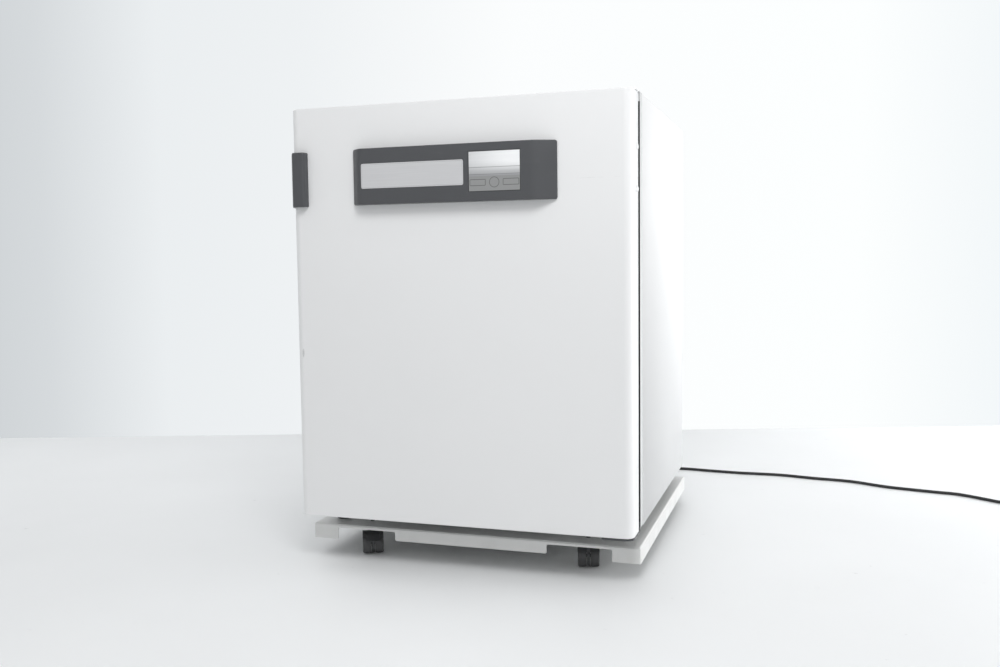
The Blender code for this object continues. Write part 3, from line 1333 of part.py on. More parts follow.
def base_frame():
    """A pressed ring with skirts all round, cut away in front of and behind each caster."""
    x = BASE_W / 2
    outer = rectangle(-x, x, BASE_FRONT_Y, BASE_BACK_Y, BASE_CORNER_R)
    opening = rectangle(
        -BASE_OPEN_W / 2, BASE_OPEN_W / 2, BASE_FRONT_Y + BASE_OPEN_MARGIN, BASE_BACK_Y - BASE_OPEN_MARGIN,
        BASE_OPEN_R,
    )
    inner_top = rectangle(
        BASE_CORNER_R - x, x - BASE_CORNER_R, BASE_FRONT_Y + BASE_CORNER_R, BASE_BACK_Y - BASE_CORNER_R,
        BASE_CORNER_R / 4,
    )
    rings = [
        level(outer, BASE_BOTTOM_Z), level(outer, BASE_TOP_Z - BASE_CORNER_R), level(inner_top, BASE_TOP_Z),
        level(opening, BASE_TOP_Z), level(opening, BASE_TOP_Z - BASE_LIP_H),
    ]
    frame = loft("base_frame", rings, "base_enamel")
    thicken(frame, BASE_SHEET)
    below = BASE_BOTTOM_Z - CUT
    half = [
        (0, BASE_MIDDLE_Z, 0), (NOTCH_X0, BASE_MIDDLE_Z, NOTCH_R), (NOTCH_X0, NOTCH_TOP_Z, NOTCH_R),
        (NOTCH_X1, NOTCH_TOP_Z, NOTCH_R), (NOTCH_X1, below, 0),
    ]
    outline = rounded([(-x, z, r) for x, z, r in half[:0:-1]] + half[1:])
    stems = [circle(x, y, STEM_R + RUN) for x, y in CASTER_PLACES]
    cut(
        frame,
        prism("front_notches", [outline], BASE_FRONT_Y - CUT, BASE_FRONT_Y + CUT / 2, "Y"),
        prism("rear_notches", [outline], BASE_BACK_Y - CUT / 2, BASE_BACK_Y + CUT, "Y"),
        prism("stem_holes", stems, BASE_TOP_Z - CUT / 2, BASE_TOP_Z + CUT),
    )


def caster_fork_mesh(braked):
    """Stem, collar, web, hood and axle: the swivel axis is at x = y = 0, the wheels trail to +Y."""
    hub = (CASTER_TRAIL, WHEEL_R)
    half = WEB_T / 2 + WHEEL_GAP + WHEEL_W
    rim = HOOD_R + HOOD_T
    first, last = HOOD_FROM + WEB_IN_HOOD, HOOD_TO - WEB_IN_HOOD
    web_outline = arc(hub, HOOD_R + HOOD_T / 2, first, last, 6)
    web_outline += arc(hub, HUB_R, last, first + 2 * math.pi, 6)
    web = prism("caster_fork", [web_outline], -WEB_T / 2, WEB_T / 2, "X")
    band = arc(hub, rim, HOOD_FROM, HOOD_TO, 6) + arc(hub, HOOD_R, HOOD_TO, HOOD_FROM, 6)
    neck_z = WHEEL_R + rim * math.sin(HOOD_TO)
    boss_z = 2 * WHEEL_R + HOOD_T
    neck_x, neck_y = WEB_T / 2 - FIT, HUB_R / 2
    collar_top = BASE_TOP_Z - BASE_SHEET - FIT
    pieces = [
        prism("hood", [band], -half, half, "X"),
        box("neck", (-neck_x, -neck_y, neck_z), (neck_x, neck_y, COLLAR_Z - HOOD_T / 2)),
        rod("boss", (0, 0, boss_z), (0, 0, COLLAR_Z), HUB_R, end_radius=COLLAR_R * 0.9, segments=12),
        rod("collar", (0, 0, COLLAR_Z - HOOD_T), (0, 0, collar_top), COLLAR_R, segments=14),
        rod("stem", (0, 0, COLLAR_Z + HOOD_T), (0, 0, BASE_TOP_Z + STEM_PROUD), STEM_R, segments=10),
        rod("axle", (-half + AXLE_SHORT, *hub), (half - AXLE_SHORT, *hub), AXLE_R, segments=10),
    ]
    if braked:
        y, z = PEDAL_PIVOT
        ear = arc((y, z), PEDAL_EAR_R, HOOD_FROM - math.pi / 2, HOOD_FROM + math.pi / 2, 4)
        spread = PEDAL_EAR_R / HOOD_R
        ear += arc(hub, HOOD_R + HOOD_T / 2, PEDAL_AT + spread, PEDAL_AT - spread, 2)
        inside = PEDAL_W / 2 + FIT
        for number, side in enumerate((-1, 1)):
            near, far = side * inside, side * (inside + PEDAL_EAR_T)
            pieces.append(prism(f"ear_{number}", [ear], min(near, far), max(near, far), "X"))
        reach = inside + PEDAL_EAR_T / 2
        pieces.append(rod("pedal_pin", (-reach, y, z), (reach, y, z), PEDAL_PIN_R, segments=8))
    return baked(fuse(web, *pieces))


def wheel_profile():
    """A twin wheel's half: bore, hub, dished disc and crowned tread, from its inner to its outer face."""
    bore, rim = AXLE_R + RUN, WHEEL_R - WHEEL_CROWN
    tread = [(rim, 0), (WHEEL_R, WHEEL_W / 2), (rim, WHEEL_W)]
    dish_bottom = WHEEL_W - DISH_D
    dish = [(rim - RIM_T, WHEEL_W), (rim - RIM_T, dish_bottom), (HUB_R, dish_bottom), (HUB_R, WHEEL_W)]
    return [(bore, 0)] + tread + dish + [(bore, WHEEL_W)]


def pedal_mesh():
    """The brake lever, drawn with its pin at the origin and reaching to +Y."""
    outline = rounded([
        (-PEDAL_T, -PEDAL_T, PEDAL_T * 0.95), (PEDAL_T * 1.4, -PEDAL_T, PEDAL_T * 0.5),
        (PEDAL_L * 0.84, -PEDAL_T / 2, PEDAL_T), (PEDAL_L, PEDAL_T * 0.4, PEDAL_T * 0.25),
        (PEDAL_L * 0.96, PEDAL_T * 1.2, PEDAL_T * 0.25), (PEDAL_L * 0.8, PEDAL_T / 2, PEDAL_T),
        (PEDAL_T * 1.4, PEDAL_T, PEDAL_T * 0.5), (-PEDAL_T, PEDAL_T, PEDAL_T * 0.95),
    ], steps=2)
    loops = [outline, circle(0, 0, PEDAL_PIN_R + RUN, 8)]
    return baked(prism("pedal", loops, -PEDAL_W / 2, PEDAL_W / 2, "X"))


def casters():
    """Four twin-wheel casters; the two in front have a brake lever."""
    meshes = {braked: caster_fork_mesh(braked) for braked in (True, False)}
    lever = pedal_mesh()
    for name, (x, y), turn in zip(CASTER_NAMES, CASTER_PLACES, CASTER_TURNS):
        braked = name.startswith("front")
        swivel = joint_empty(f"{name}_swivel", (x, y, 0), turn=turn)
        fork = new_object(f"caster_fork_{name}", meshes[braked].copy(), "dark_moulding")
        fork.parent = swivel
        for hand, side in (("left", -1), ("right", 1)):
            place = (side * (WEB_T / 2 + WHEEL_GAP), CASTER_TRAIL, WHEEL_R)
            wheel = turned(
                f"caster_wheel_{name}_{hand}", wheel_profile(), place, "X", "black_rubber",
                closed=True, steps=16, reverse=side < 0,
            )
            wheel.parent = swivel
        if braked:
            pedal = new_object(f"brake_pedal_{name}", lever.copy(), "dark_moulding")
            pedal.location = (0, *PEDAL_PIVOT)
            pedal.rotation_euler.x = PEDAL_DOWN
            pedal.parent = swivel


def levelling_feet():
    """Feet that screw up into the cabinet's floor."""
    bottom = BASE_TOP_Z + FIT
    stem = CABINET_Z0 + SHEET + FOOT_STEM_IN_PAN - bottom
    profile = [
        (0, 0), (FOOT_R * 0.94, 0), (FOOT_R, FOOT_PAD_T * 0.2), (FOOT_R, FOOT_PAD_T * 0.45),
        (FOOT_STEM_R * 2, FOOT_PAD_T), (FOOT_STEM_R, FOOT_PAD_T), (FOOT_STEM_R, stem), (0, stem),
    ]
    for across, x in (("left", -FOOT_X), ("right", FOOT_X)):
        for along, y in (("front", FOOT_FRONT_Y), ("back", FOOT_BACK_Y)):
            name = f"levelling_foot_{along}_{across}"
            foot = turned(name, profile, (0, 0, 0), "Z", "black_rubber", steps=12)
            foot.parent = joint_empty(f"foot_{along}_{across}_screw", (x, y, bottom))


# Mains lead


def catmull_rom(points, per_span):
    """A smooth curve through points, as many samples to each span."""
    padded = [2 * points[0] - points[1], *points, 2 * points[-1] - points[-2]]
    curve = []
    for a, b, c, d in zip(padded, padded[1:], padded[2:], padded[3:]):
        squared, cubed = 2 * a - 5 * b + 4 * c - d, 3 * b - a - 3 * c + d
        for i in range(per_span):
            t = i / per_span
            curve.append((2 * b + (c - a) * t + squared * t ** 2 + cubed * t ** 3) / 2)
    return curve + [points[-1]]


def evenly(points, spacing):
    """Points about a spacing apart along a finely sampled curve, with both ends kept."""
    total = sum((b - a).length for a, b in zip(points, points[1:]))
    step = total / round(total / spacing)
    kept, travelled = [points[0]], 0.0
    for a, b in zip(points, points[1:]):
        travelled += (b - a).length
        if travelled >= step * len(kept) - 1e-9 and (points[-1] - b).length > step / 2:
            kept.append(b)
    return kept + [points[-1]]


def mains_lead():
    """Connector, the lead where it lies free, its coil put away beside it, and the plug."""
    box_end = SUPPLY_FACE_Y - CONNECTOR_IN + CONNECTOR_L
    outline = rounded([
        (INLET_X - CONNECTOR_W / 2, SUPPLY_Z - CONNECTOR_H / 2, INLET_CORNER_R),
        (INLET_X + CONNECTOR_W / 2, SUPPLY_Z - CONNECTOR_H / 2, INLET_CORNER_R),
        (INLET_X + CONNECTOR_W / 2, SUPPLY_Z + CONNECTOR_H * 0.2, 0),
        (INLET_X + CONNECTOR_W * 0.25, SUPPLY_Z + CONNECTOR_H / 2, 0),
        (INLET_X - CONNECTOR_W * 0.25, SUPPLY_Z + CONNECTOR_H / 2, 0),
        (INLET_X - CONNECTOR_W / 2, SUPPLY_Z + CONNECTOR_H * 0.2, 0),
    ], steps=2)
    connector = prism(
        "mains_connector", [outline], SUPPLY_FACE_Y - CONNECTOR_IN, box_end, "Y", "black_moulding"
    )
    boot_end = box_end + BOOT_L
    fuse(connector, rod(
        "connector_boot", (INLET_X, box_end - FIT * 10, SUPPLY_Z), (INLET_X, boot_end, SUPPLY_Z),
        BOOT_R * 1.2, end_radius=LEAD_R * 1.25, segments=12,
    ))
    first = Vector((INLET_X, boot_end + 2 * FIT, SUPPLY_Z))
    route = [first] + [Vector((INLET_X + off, y, z)) for off, y, z in LEAD_DROP]
    route += [Vector((x, y, LEAD_R + FIT)) for x, y in LEAD_ON_FLOOR]
    tube("mains_cord", evenly(catmull_rom(route, 24), LEAD_SPACING), LEAD_R, "black_rubber")

    pitch = 2 * LEAD_R + FIT
    half, height = COIL_LANES * pitch / 2, 2 * LEAD_R + (COIL_LAYERS - 1) * pitch * math.sin(math.pi / 3)
    ring = [
        (COIL_R - half, FIT), (COIL_R + half, FIT), (COIL_R + half, pitch), (COIL_R + half / 2, height + FIT),
        (COIL_R - half / 2, height + FIT), (COIL_R - half, pitch),
    ]
    turned("mains_cord_coil", ring, (*COIL_CENTRE, 0), "Z", "black_rubber", closed=True, steps=24)

    leaving = Vector((math.cos(COIL_LEAVES_AT), math.sin(COIL_LEAVES_AT), 0))
    along = Vector((-leaving.y, leaving.x, 0))
    start = Vector((*COIL_CENTRE, PLUG_R + FIT)) + leaving * COIL_R + along * COIL_TO_PLUG
    body_start, body_end = start + along * PLUG_BOOT_L, start + along * (PLUG_BOOT_L + PLUG_BODY_L)
    plug = rod("mains_plug", body_start, body_end, PLUG_R * 0.78, "black_moulding", end_radius=PLUG_R)
    pieces = [rod(
        "plug_boot", start, body_start + along * FIT * 10, LEAD_R * 1.25, end_radius=BOOT_R * 1.3, segments=12
    )]
    for number, side in enumerate((-1, 1)):
        base = body_end + leaving * side * PLUG_PIN_SPACING / 2
        pieces.append(rod(
            f"plug_pin_{number}", base - along * FIT * 10, base + along * PLUG_PIN_L, PLUG_PIN_R, segments=12
        ))
    fuse(plug, *pieces)


outer_casing()
base_pan()
front_frame()
insulation_jacket()
chamber_liner()
chamber_gasket()
rear_cover()
shelf_rack("shelf_rack_left", -1)
shelf_rack("shelf_rack_right", 1)
shelves()
humidity_cover()
air_baffle()
hepa_filter()
fan_motor()
fan_wheel()
sensor_probe()
supply_panel()
mains_switch()
access_port()
port_plug()
outer_door()
glass_door()
base_frame()
casters()
levelling_feet()
mains_lead()
for part in PARTS.objects:
    smooth(part)
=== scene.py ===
# %% [markdown]
# A carbon dioxide incubator on a low roller base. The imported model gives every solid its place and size. This
# script adds rolled edges, seals, screws, a cord at its real length and a finish for every surface.

# %% Load the frame
import json
import math
from contextlib import contextmanager

import bmesh
import bpy
import numpy as np
from mathutils import Matrix, Vector

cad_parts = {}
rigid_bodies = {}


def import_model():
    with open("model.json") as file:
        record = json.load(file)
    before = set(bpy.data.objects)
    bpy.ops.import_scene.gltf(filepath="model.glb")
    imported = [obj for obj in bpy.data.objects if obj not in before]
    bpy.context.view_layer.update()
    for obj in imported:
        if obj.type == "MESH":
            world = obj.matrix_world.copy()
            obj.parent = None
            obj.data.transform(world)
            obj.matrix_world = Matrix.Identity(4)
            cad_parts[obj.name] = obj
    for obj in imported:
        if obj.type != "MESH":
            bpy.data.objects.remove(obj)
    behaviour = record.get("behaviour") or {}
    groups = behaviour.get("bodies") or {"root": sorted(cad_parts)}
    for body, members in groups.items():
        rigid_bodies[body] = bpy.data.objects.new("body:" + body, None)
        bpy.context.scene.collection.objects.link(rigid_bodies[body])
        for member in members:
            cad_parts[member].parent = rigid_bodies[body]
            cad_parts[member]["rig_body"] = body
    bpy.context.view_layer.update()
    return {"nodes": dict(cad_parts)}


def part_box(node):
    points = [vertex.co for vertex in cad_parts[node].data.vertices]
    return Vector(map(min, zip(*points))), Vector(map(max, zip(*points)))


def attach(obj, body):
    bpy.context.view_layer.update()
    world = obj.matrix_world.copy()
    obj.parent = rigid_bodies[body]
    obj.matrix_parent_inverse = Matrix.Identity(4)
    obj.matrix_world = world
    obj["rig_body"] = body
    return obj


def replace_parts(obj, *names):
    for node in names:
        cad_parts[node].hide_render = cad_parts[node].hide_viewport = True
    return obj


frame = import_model()


def added(name, data):
    """A new object in the scene."""
    made = bpy.data.objects.new(name, data)
    bpy.context.scene.collection.objects.link(made)
    return made


# %% [markdown]
# The camera stands right of the door at two thirds of the machine's height and looks slightly down. Three
# angles give the view's axes. The focal length comes from pixels, so the frame fits any render size.

# %% Camera
PHOTO_WIDTH, FOCAL_PIXELS, SENSOR = 1000, 976.52, 36.0  # pixels, pixels, mm
CAMERA_AT = Vector((0.7502, -2.4023, 0.6934))
YAW, PITCH, ROLL = math.radians(18.0748), math.radians(4.2519), math.radians(-0.7084)
forward = Vector((-math.sin(YAW) * math.cos(PITCH), math.cos(YAW) * math.cos(PITCH), -math.sin(PITCH)))
level_right = Vector((math.cos(YAW), math.sin(YAW), 0))
level_up = level_right.cross(forward)
view_right = math.cos(ROLL) * level_right + math.sin(ROLL) * level_up
view_up = math.cos(ROLL) * level_up - math.sin(ROLL) * level_right
lens = bpy.data.cameras.new("photo_view")
lens.sensor_width, lens.lens = SENSOR, FOCAL_PIXELS * SENSOR / PHOTO_WIDTH
camera = added("photo_view", lens)
turned_view = Matrix((view_right, view_up, -forward)).transposed().to_4x4()
camera.matrix_world = Matrix.Translation(CAMERA_AT) @ turned_view
bpy.context.scene.camera = camera
print("lens", round(lens.lens, 2), "mm")

# %% [markdown]
# The lead falls behind the cabinet and wanders over the floor out of the view, along a Catmull-Rom curve through listed
# points. The rest is a round coil, whose radius and height are smooth steps of the angle turned.

# %% Route of the mains lead
LEAD_D, LEAD_LENGTH, FLOOR_GAP = 0.0085, 2.5, 0.0003
LEAD_R = LEAD_D / 2
LEAD_ON_FLOOR_Z = LEAD_R + FLOOR_GAP
LEAD_DROP = [
    (0.250, 0.4926, 0.250), (0.250, 0.512, 0.250), (0.250, 0.541, 0.245), (0.249, 0.570, 0.225),
    (0.246, 0.594, 0.186), (0.241, 0.609, 0.137), (0.233, 0.621, 0.086), (0.222, 0.638, 0.040),
    (0.210, 0.664, 0.012), (0.204, 0.700, 0.0052),
]
LEAD_ON_FLOOR = [
    (0.217, 0.745), (0.262, 0.785), (0.335, 0.798), (0.423, 0.788), (0.513, 0.780), (0.580, 0.781),
    (0.648, 0.780), (0.746, 0.759), (0.853, 0.742), (0.955, 0.693), (1.078, 0.662), (1.149, 0.645),
    (1.239, 0.580), (1.2714, 0.5564),
]
COIL_CENTRE = np.array([1.3271, 0.5819])
COIL_OUTER, COIL_INNER, COIL_TOP = 0.0533, 0.0447, 0.0490
COIL_RISE, COIL_TO_PLUG, PLUG_Z = 0.0086, 0.0304, 0.0183
COIL_ENTERS, COIL_LEAVES = 234, 1110  # degrees turned
GOES_INSIDE, CLIMBS, GOES_ON_TOP = (480, 580), (780, 910), (930, 1030)


def catmull_rom(points, per_span):
    """A curve through points: each span is the cubic whose slope at a point joins its neighbours."""
    p = np.asarray(points, float)
    p = np.vstack([2 * p[0] - p[1], p, 2 * p[-1] - p[-2]])
    a, b, c, d = (p[i:len(p) - 3 + i, None] for i in range(4))
    t = (np.arange(per_span) / per_span)[None, :, None]
    cubic = 2 * b + (c - a) * t + (2 * a - 5 * b + 4 * c - d) * t ** 2 + (3 * b - a - 3 * c + d) * t ** 3
    return np.vstack([(cubic / 2).reshape(-1, p.shape[1]), p[-2:-1]])


def arc(count):
    """Angles over a quarter circle."""
    return np.linspace(0, np.pi / 2, count)


def around(count):
    """Angles over a full circle, without its end."""
    return np.linspace(0, 2 * np.pi, count, endpoint=False)


def pair(first, second):
    return np.stack([first, second], -1)


def heading(angle):
    """The unit vector at an angle, or at each of many."""
    return pair(np.cos(angle), np.sin(angle))


def normal(vectors):
    """One vector, or each row of many, at a length of 1."""
    return vectors / np.linalg.norm(vectors, axis=-1, keepdims=True)


def turns(count):
    """(1 - sin, 1 - cos) over a quarter circle, for rows that turn over an edge."""
    return [(1 - math.sin(a), 1 - math.cos(a)) for a in arc(count)]


def smooth_step(value, start, end):
    """0 before start, 1 after end, and 3t^2 - 2t^3 between them."""
    t = np.clip((np.asarray(value, float) - start) / (end - start), 0, 1)
    return t * t * (3 - 2 * t)


def coil_points(step=8):
    """Turns of the lead: an outer one, one inside it, and the last part of a turn on top of both."""
    turned = np.arange(COIL_ENTERS, COIL_LEAVES + 1, step, dtype=float)
    radius = COIL_OUTER - (COIL_OUTER - COIL_INNER) * smooth_step(turned, *GOES_INSIDE)
    radius += (COIL_TOP - COIL_INNER) * smooth_step(turned, *GOES_ON_TOP)
    height = LEAD_ON_FLOOR_Z + COIL_RISE * smooth_step(turned, *CLIMBS)
    return np.column_stack([COIL_CENTRE + radius[:, None] * heading(np.radians(turned)), height])


leaving = np.radians(COIL_LEAVES)
plug_along = np.array([-math.sin(leaving), math.cos(leaving), 0.0])
plug_start = np.array([*(COIL_CENTRE + COIL_TOP * heading(leaving)), PLUG_Z]) + plug_along * COIL_TO_PLUG
floor_points = [(x, y, LEAD_ON_FLOOR_Z) for x, y in LEAD_ON_FLOOR]
coil = coil_points()
lead_path = np.vstack([
    catmull_rom(LEAD_DROP + floor_points + [tuple(coil[0])], 5)[:-1], coil,
    catmull_rom([coil[-1], (coil[-1] + plug_start) / 2 + (0, 0, 0.001), plug_start], 3)[1:],
])
print("lead", round(float(np.linalg.norm(np.diff(lead_path, axis=0), axis=1).sum()), 3), "m")

# %% [markdown]
# Shader nodes are easier to read as arithmetic. A Socket overloads the operators, so that an expression adds
# its own Math nodes. A Finish is a material that makes any other node.

# %% Shader arithmetic
SLOTS = {  # the finishes whose slot has another name
    "door_enamel": "white_enamel", "caster_moulding": "caster_grey", "frame_moulding": "grey_frame",
    "panel_moulding": "grey_moulding", "zinc_plate": "galvanised", "seal_grey": "silicone",
    "caster_tread": "caster_tyre", "lead_sheath": "cord_rubber", "steel_brushed_across": "stainless",
    "steel_brushed_deep": "stainless", "steel_brushed_upright": "stainless", "steel_turned": "stainless",
}


class Socket:
    """A node's output that can be used in arithmetic."""

    def __init__(self, finish, output):
        self.finish, self.output = finish, output

    def math(self, operation, *others):
        values = dict(enumerate((self, *others)))
        return self.finish.node("ShaderNodeMath", {"operation": operation}, values)

    def __add__(self, other):
        return self.math("ADD", other)

    def __sub__(self, other):
        return self.math("SUBTRACT", other)

    def __mul__(self, other):
        return self.math("MULTIPLY", other)

    def __rsub__(self, other):
        return self.finish.node("ShaderNodeMath", {"operation": "SUBTRACT"}, {0: other, 1: self})

    __radd__, __rmul__ = __add__, __mul__

    def abs(self):
        return self.math("ABSOLUTE")

    def step(self, start, end, kind="SMOOTHSTEP"):
        """A step from 0 at start to 1 at end."""
        inputs = {"Value": self, "From Min": start, "From Max": end}
        return self.finish.node("ShaderNodeMapRange", {"interpolation_type": kind}, inputs)


class Finish:
    """A material whose patterns are written as expressions on Object coordinates."""

    def __init__(self, name, colour, roughness, metallic=0.0, **plain):
        self.material = bpy.data.materials.new(name)
        self.material.use_nodes = True
        self.tree = self.material.node_tree
        self.shader = self.tree.nodes["Principled BSDF"]
        self.slot = SLOTS.get(name, name)
        self.material.diffuse_color = (*colour, 1)
        self.set("Base Color", (*colour, 1))
        self.set("Roughness", roughness)
        self.set("Metallic", metallic)
        for field, value in plain.items():
            self.set(field.replace("_", " "), value)
        self.place = self.node("ShaderNodeTexCoord", output="Object")

    def set(self, name, value):
        self.feed(self.shader.inputs[name], value)

    def feed(self, target, value):
        if isinstance(value, Socket):
            self.tree.links.new(value.output, target)
        else:
            target.default_value = value

    def node(self, kind, settings=None, inputs=None, output=0):
        """Any node: its settings are set first, then the values or links of its sockets."""
        made = self.tree.nodes.new(kind)
        for name, value in (settings or {}).items():
            if name == "stops":
                while len(made.color_ramp.elements) < len(value):
                    made.color_ramp.elements.new(0.5)
                for element, (position, colour) in zip(made.color_ramp.elements, value):
                    element.position, element.color = position, (*colour, 1)
            else:
                setattr(made, name, value)
        for name, value in (inputs or {}).items():
            self.feed(made.inputs[name], value)
        return Socket(self, made.outputs[output])

    def axis(self, letter):
        """One coordinate of the place on the piece, in metres."""
        return self.node("ShaderNodeSeparateXYZ", None, {0: self.place}, letter)

    def stretched(self, scale):
        return self.node("ShaderNodeMapping", None, {"Vector": self.place, "Scale": scale})

    def noise(self, scale, detail=2.0, stretch=(1, 1, 1), roughness=0.5):
        inputs = {"Vector": self.stretched(stretch), "Scale": scale, "Detail": detail, "Roughness": roughness}
        return self.node("ShaderNodeTexNoise", None, inputs)

    def blend(self, factor, first, second):
        """A mix of two colours: inputs 6 and 7 of the Mix node, and its output 2."""
        first, second = (colour if isinstance(colour, Socket) else (*colour, 1) for colour in (first, second))
        settings = {"data_type": "RGBA", "clamp_factor": True}
        return self.node("ShaderNodeMix", settings, {0: factor, 6: first, 7: second}, 2)

    def mark(self, factor, colour):
        """Lays a colour over the pattern that is there."""
        so_far = Socket(self, self.shader.inputs["Base Color"].links[0].from_socket)
        self.set("Base Color", self.blend(factor, so_far, colour))

    def wear(self, colour, roughness=None, height=None, depth=0.0, strength=1.0):
        """Patterns in place of the plain values; depth is the relief's, in metres."""
        self.set("Base Color", colour)
        if roughness:
            self.set("Roughness", roughness)
        if height:
            relief = {"Height": height, "Distance": depth, "Strength": strength}
            self.set("Normal", self.node("ShaderNodeBump", None, relief))
        return self


def tint(colour, amount):
    """The colour made darker or lighter by a share."""
    return tuple(min(1.0, c * (1 + amount)) for c in colour)


print("slots by another name", len(SLOTS))

# %% [markdown]
# Cabinet, door and base are powder-coated steel: fine orange peel, slow changes of tone and a little grime
# low down.

# %% Powder coat
WHITE, CREAM, GRIME = (0.83, 0.835, 0.84), (0.74, 0.745, 0.735), (0.30, 0.29, 0.26)
PEEL_SCALE, GRAIN_SCALE, PEEL_DEPTH = 420, 1500, 0.00012


def powder_coat(name, colour, roughness=0.40, grime_top=0.16, grime=0.10):
    finish = Finish(name, colour, roughness, Specular_IOR_Level=0.42, Coat_Weight=0.06, Coat_Roughness=0.35)
    tone = finish.noise(2.6, 3)
    rubbed = finish.noise(34, 4, stretch=(1, 1, 0.25))
    low = 1 - finish.axis("Z").step(grime_top * 0.45, grime_top)
    dirt = low * finish.noise(21, 5, stretch=(1, 1, 0.4)).step(0.42, 0.78)
    base = finish.blend(tone, tint(colour, -0.018), tint(colour, 0.012))
    rough = roughness + (rubbed - 0.5) * 0.09 + dirt * 0.12
    peel = finish.noise(PEEL_SCALE, 2) * 0.8 + finish.noise(GRAIN_SCALE, 1) * 0.2
    return finish.wear(finish.blend(dirt * grime, base, GRIME), rough, peel, PEEL_DEPTH, 0.22)


white_enamel = powder_coat("white_enamel", WHITE)
base_enamel = powder_coat("base_enamel", CREAM, 0.42, 0.075, 0.22)
print("coats", white_enamel.slot, base_enamel.slot)

# %% [markdown]
# The door has marks of its life: a grey scuff near the left edge and a faint level line where tape once held
# a note.

# %% Door coat
SCUFF_AT, SCUFF_HALF, SCUFF_GREY = (-0.372, 0.488), (0.0035, 0.012), (0.22, 0.22, 0.23)
TAPE_LINE_Z, TAPE_LINE_FROM = 0.862, 0.268
door_enamel = powder_coat("door_enamel", WHITE, grime_top=0.14, grime=0.06)
door_x, door_z = door_enamel.axis("X"), door_enamel.axis("Z")
from_scuff_x = ((door_x - SCUFF_AT[0]) * (1 / SCUFF_HALF[0])).abs()
from_scuff_z = ((door_z - SCUFF_AT[1]) * (1 / SCUFF_HALF[1])).abs()
scuff = 1 - (from_scuff_x * from_scuff_x + from_scuff_z * from_scuff_z).step(0.2, 1.0)
scuff = scuff * door_enamel.noise(700, 3).step(0.35, 0.6)
tape = 1 - ((door_z - TAPE_LINE_Z).abs() * 900).step(0.2, 1.0)
tape = tape * door_x.step(TAPE_LINE_FROM, TAPE_LINE_FROM + 0.03) * door_enamel.noise(60, 2).step(0.4, 0.6)
door_enamel.mark(scuff * 0.55 + tape * 0.10, SCUFF_GREY)
print("door coat's nodes", len(door_enamel.tree.nodes))

# %% [markdown]
# Mouldings are dyed through, with an even grain that is rubbed smoother where hands go. The frame behind the door
# carries painted shade: a black band along its edges for the shadow in the gap round the door.

# %% Mouldings
def moulding(name, colour, roughness, grain=0.00010, rub=0.10):
    finish = Finish(name, colour, roughness, Specular_IOR_Level=0.45)
    tone = finish.noise(9, 3)
    hands = finish.noise(26, 4).step(0.42, 0.72)
    streaks = finish.noise(55, 3, stretch=(0.15, 1, 1)).step(0.60, 0.78)
    base = finish.blend(tone, tint(colour, -0.06), tint(colour, 0.05))
    rough = roughness - hands * rub + (finish.noise(380, 2) - 0.5) * 0.06
    return finish.wear(finish.blend(streaks * 0.16, base, tint(colour, 0.5)), rough, finish.noise(1250, 2), grain, 0.35)


charcoal = moulding("charcoal_moulding", (0.076, 0.079, 0.085), 0.42)
caster_grey = moulding("caster_moulding", (0.050, 0.052, 0.054), 0.46, rub=0.05)
frame_grey = moulding("frame_moulding", (0.60, 0.61, 0.61), 0.50)
panel_grey = moulding("panel_moulding", (0.30, 0.31, 0.32), 0.48)
black_moulding = moulding("black_moulding", (0.020, 0.020, 0.022), 0.40)
FRAME_LOW, FRAME_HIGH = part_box("front_frame")
GAP_SHADE_WIDTH, GAP_SHADE_BLACK = 0.016, (0.018, 0.018, 0.019)
# painted shade: the frame's front face turns black along its outer edges, where the gap round the door lies in shadow
band = frame_grey.axis("X").abs().step(FRAME_HIGH.x - GAP_SHADE_WIDTH - 0.0004, FRAME_HIGH.x - GAP_SHADE_WIDTH)
band = band * (1 - frame_grey.axis("Y").step(FRAME_LOW.y + 0.0002, FRAME_LOW.y + 0.0006))
frame_grey.mark(band, GAP_SHADE_BLACK)
print("mouldings, band", GAP_SHADE_WIDTH * 1000, "mm")

# %% [markdown]
# Brushed steel is a noise stretched along one axis. Zinc plating shows large dull crystals, which is a cell
# pattern.

# %% Metals
def brushed(name, colour, roughness, along, depth=0.00003):
    finish = Finish(name, colour, roughness, 1.0)
    stretch = [24.0, 24.0, 24.0]
    stretch["XYZ".index(along)] = 0.5
    lines = finish.noise(26, 3, stretch=stretch)
    cloud = finish.noise(7, 3)
    smear = finish.noise(3.2, 4).step(0.45, 0.8)
    rough = roughness + (lines - 0.5) * 0.16 + (cloud - 0.5) * 0.10 + smear * 0.05
    return finish.wear(finish.blend(lines, tint(colour, -0.07), tint(colour, 0.05)), rough, lines, depth, 0.20)


def zinc(name, colour, roughness):
    finish = Finish(name, colour, roughness, 1.0)
    cells = {"Vector": finish.stretched((1, 1, 1)), "Scale": 90}
    crystals = finish.node("ShaderNodeTexVoronoi", None, cells, "Color")
    shade = finish.node("ShaderNodeRGBToBW", None, {0: crystals})
    return finish.wear(finish.blend(shade, tint(colour, -0.16), tint(colour, 0.12)), roughness + (shade - 0.5) * 0.22)


STEEL = (0.60, 0.60, 0.595)
steel_across = brushed("steel_brushed_across", STEEL, 0.27, "X")
steel_deep = brushed("steel_brushed_deep", STEEL, 0.25, "Y")
steel_upright = brushed("steel_brushed_upright", STEEL, 0.28, "Z")
polished_steel = brushed("steel_turned", (0.66, 0.66, 0.655), 0.18, "Y", 0.00001)
zinc_plate = zinc("zinc_plate", (0.50, 0.51, 0.52), 0.42)
silver = brushed("silver_plate", (0.74, 0.745, 0.76), 0.34, "X", 0.00001)
silver.set("Metallic", 0.55)
print("silver's slot", silver.slot)
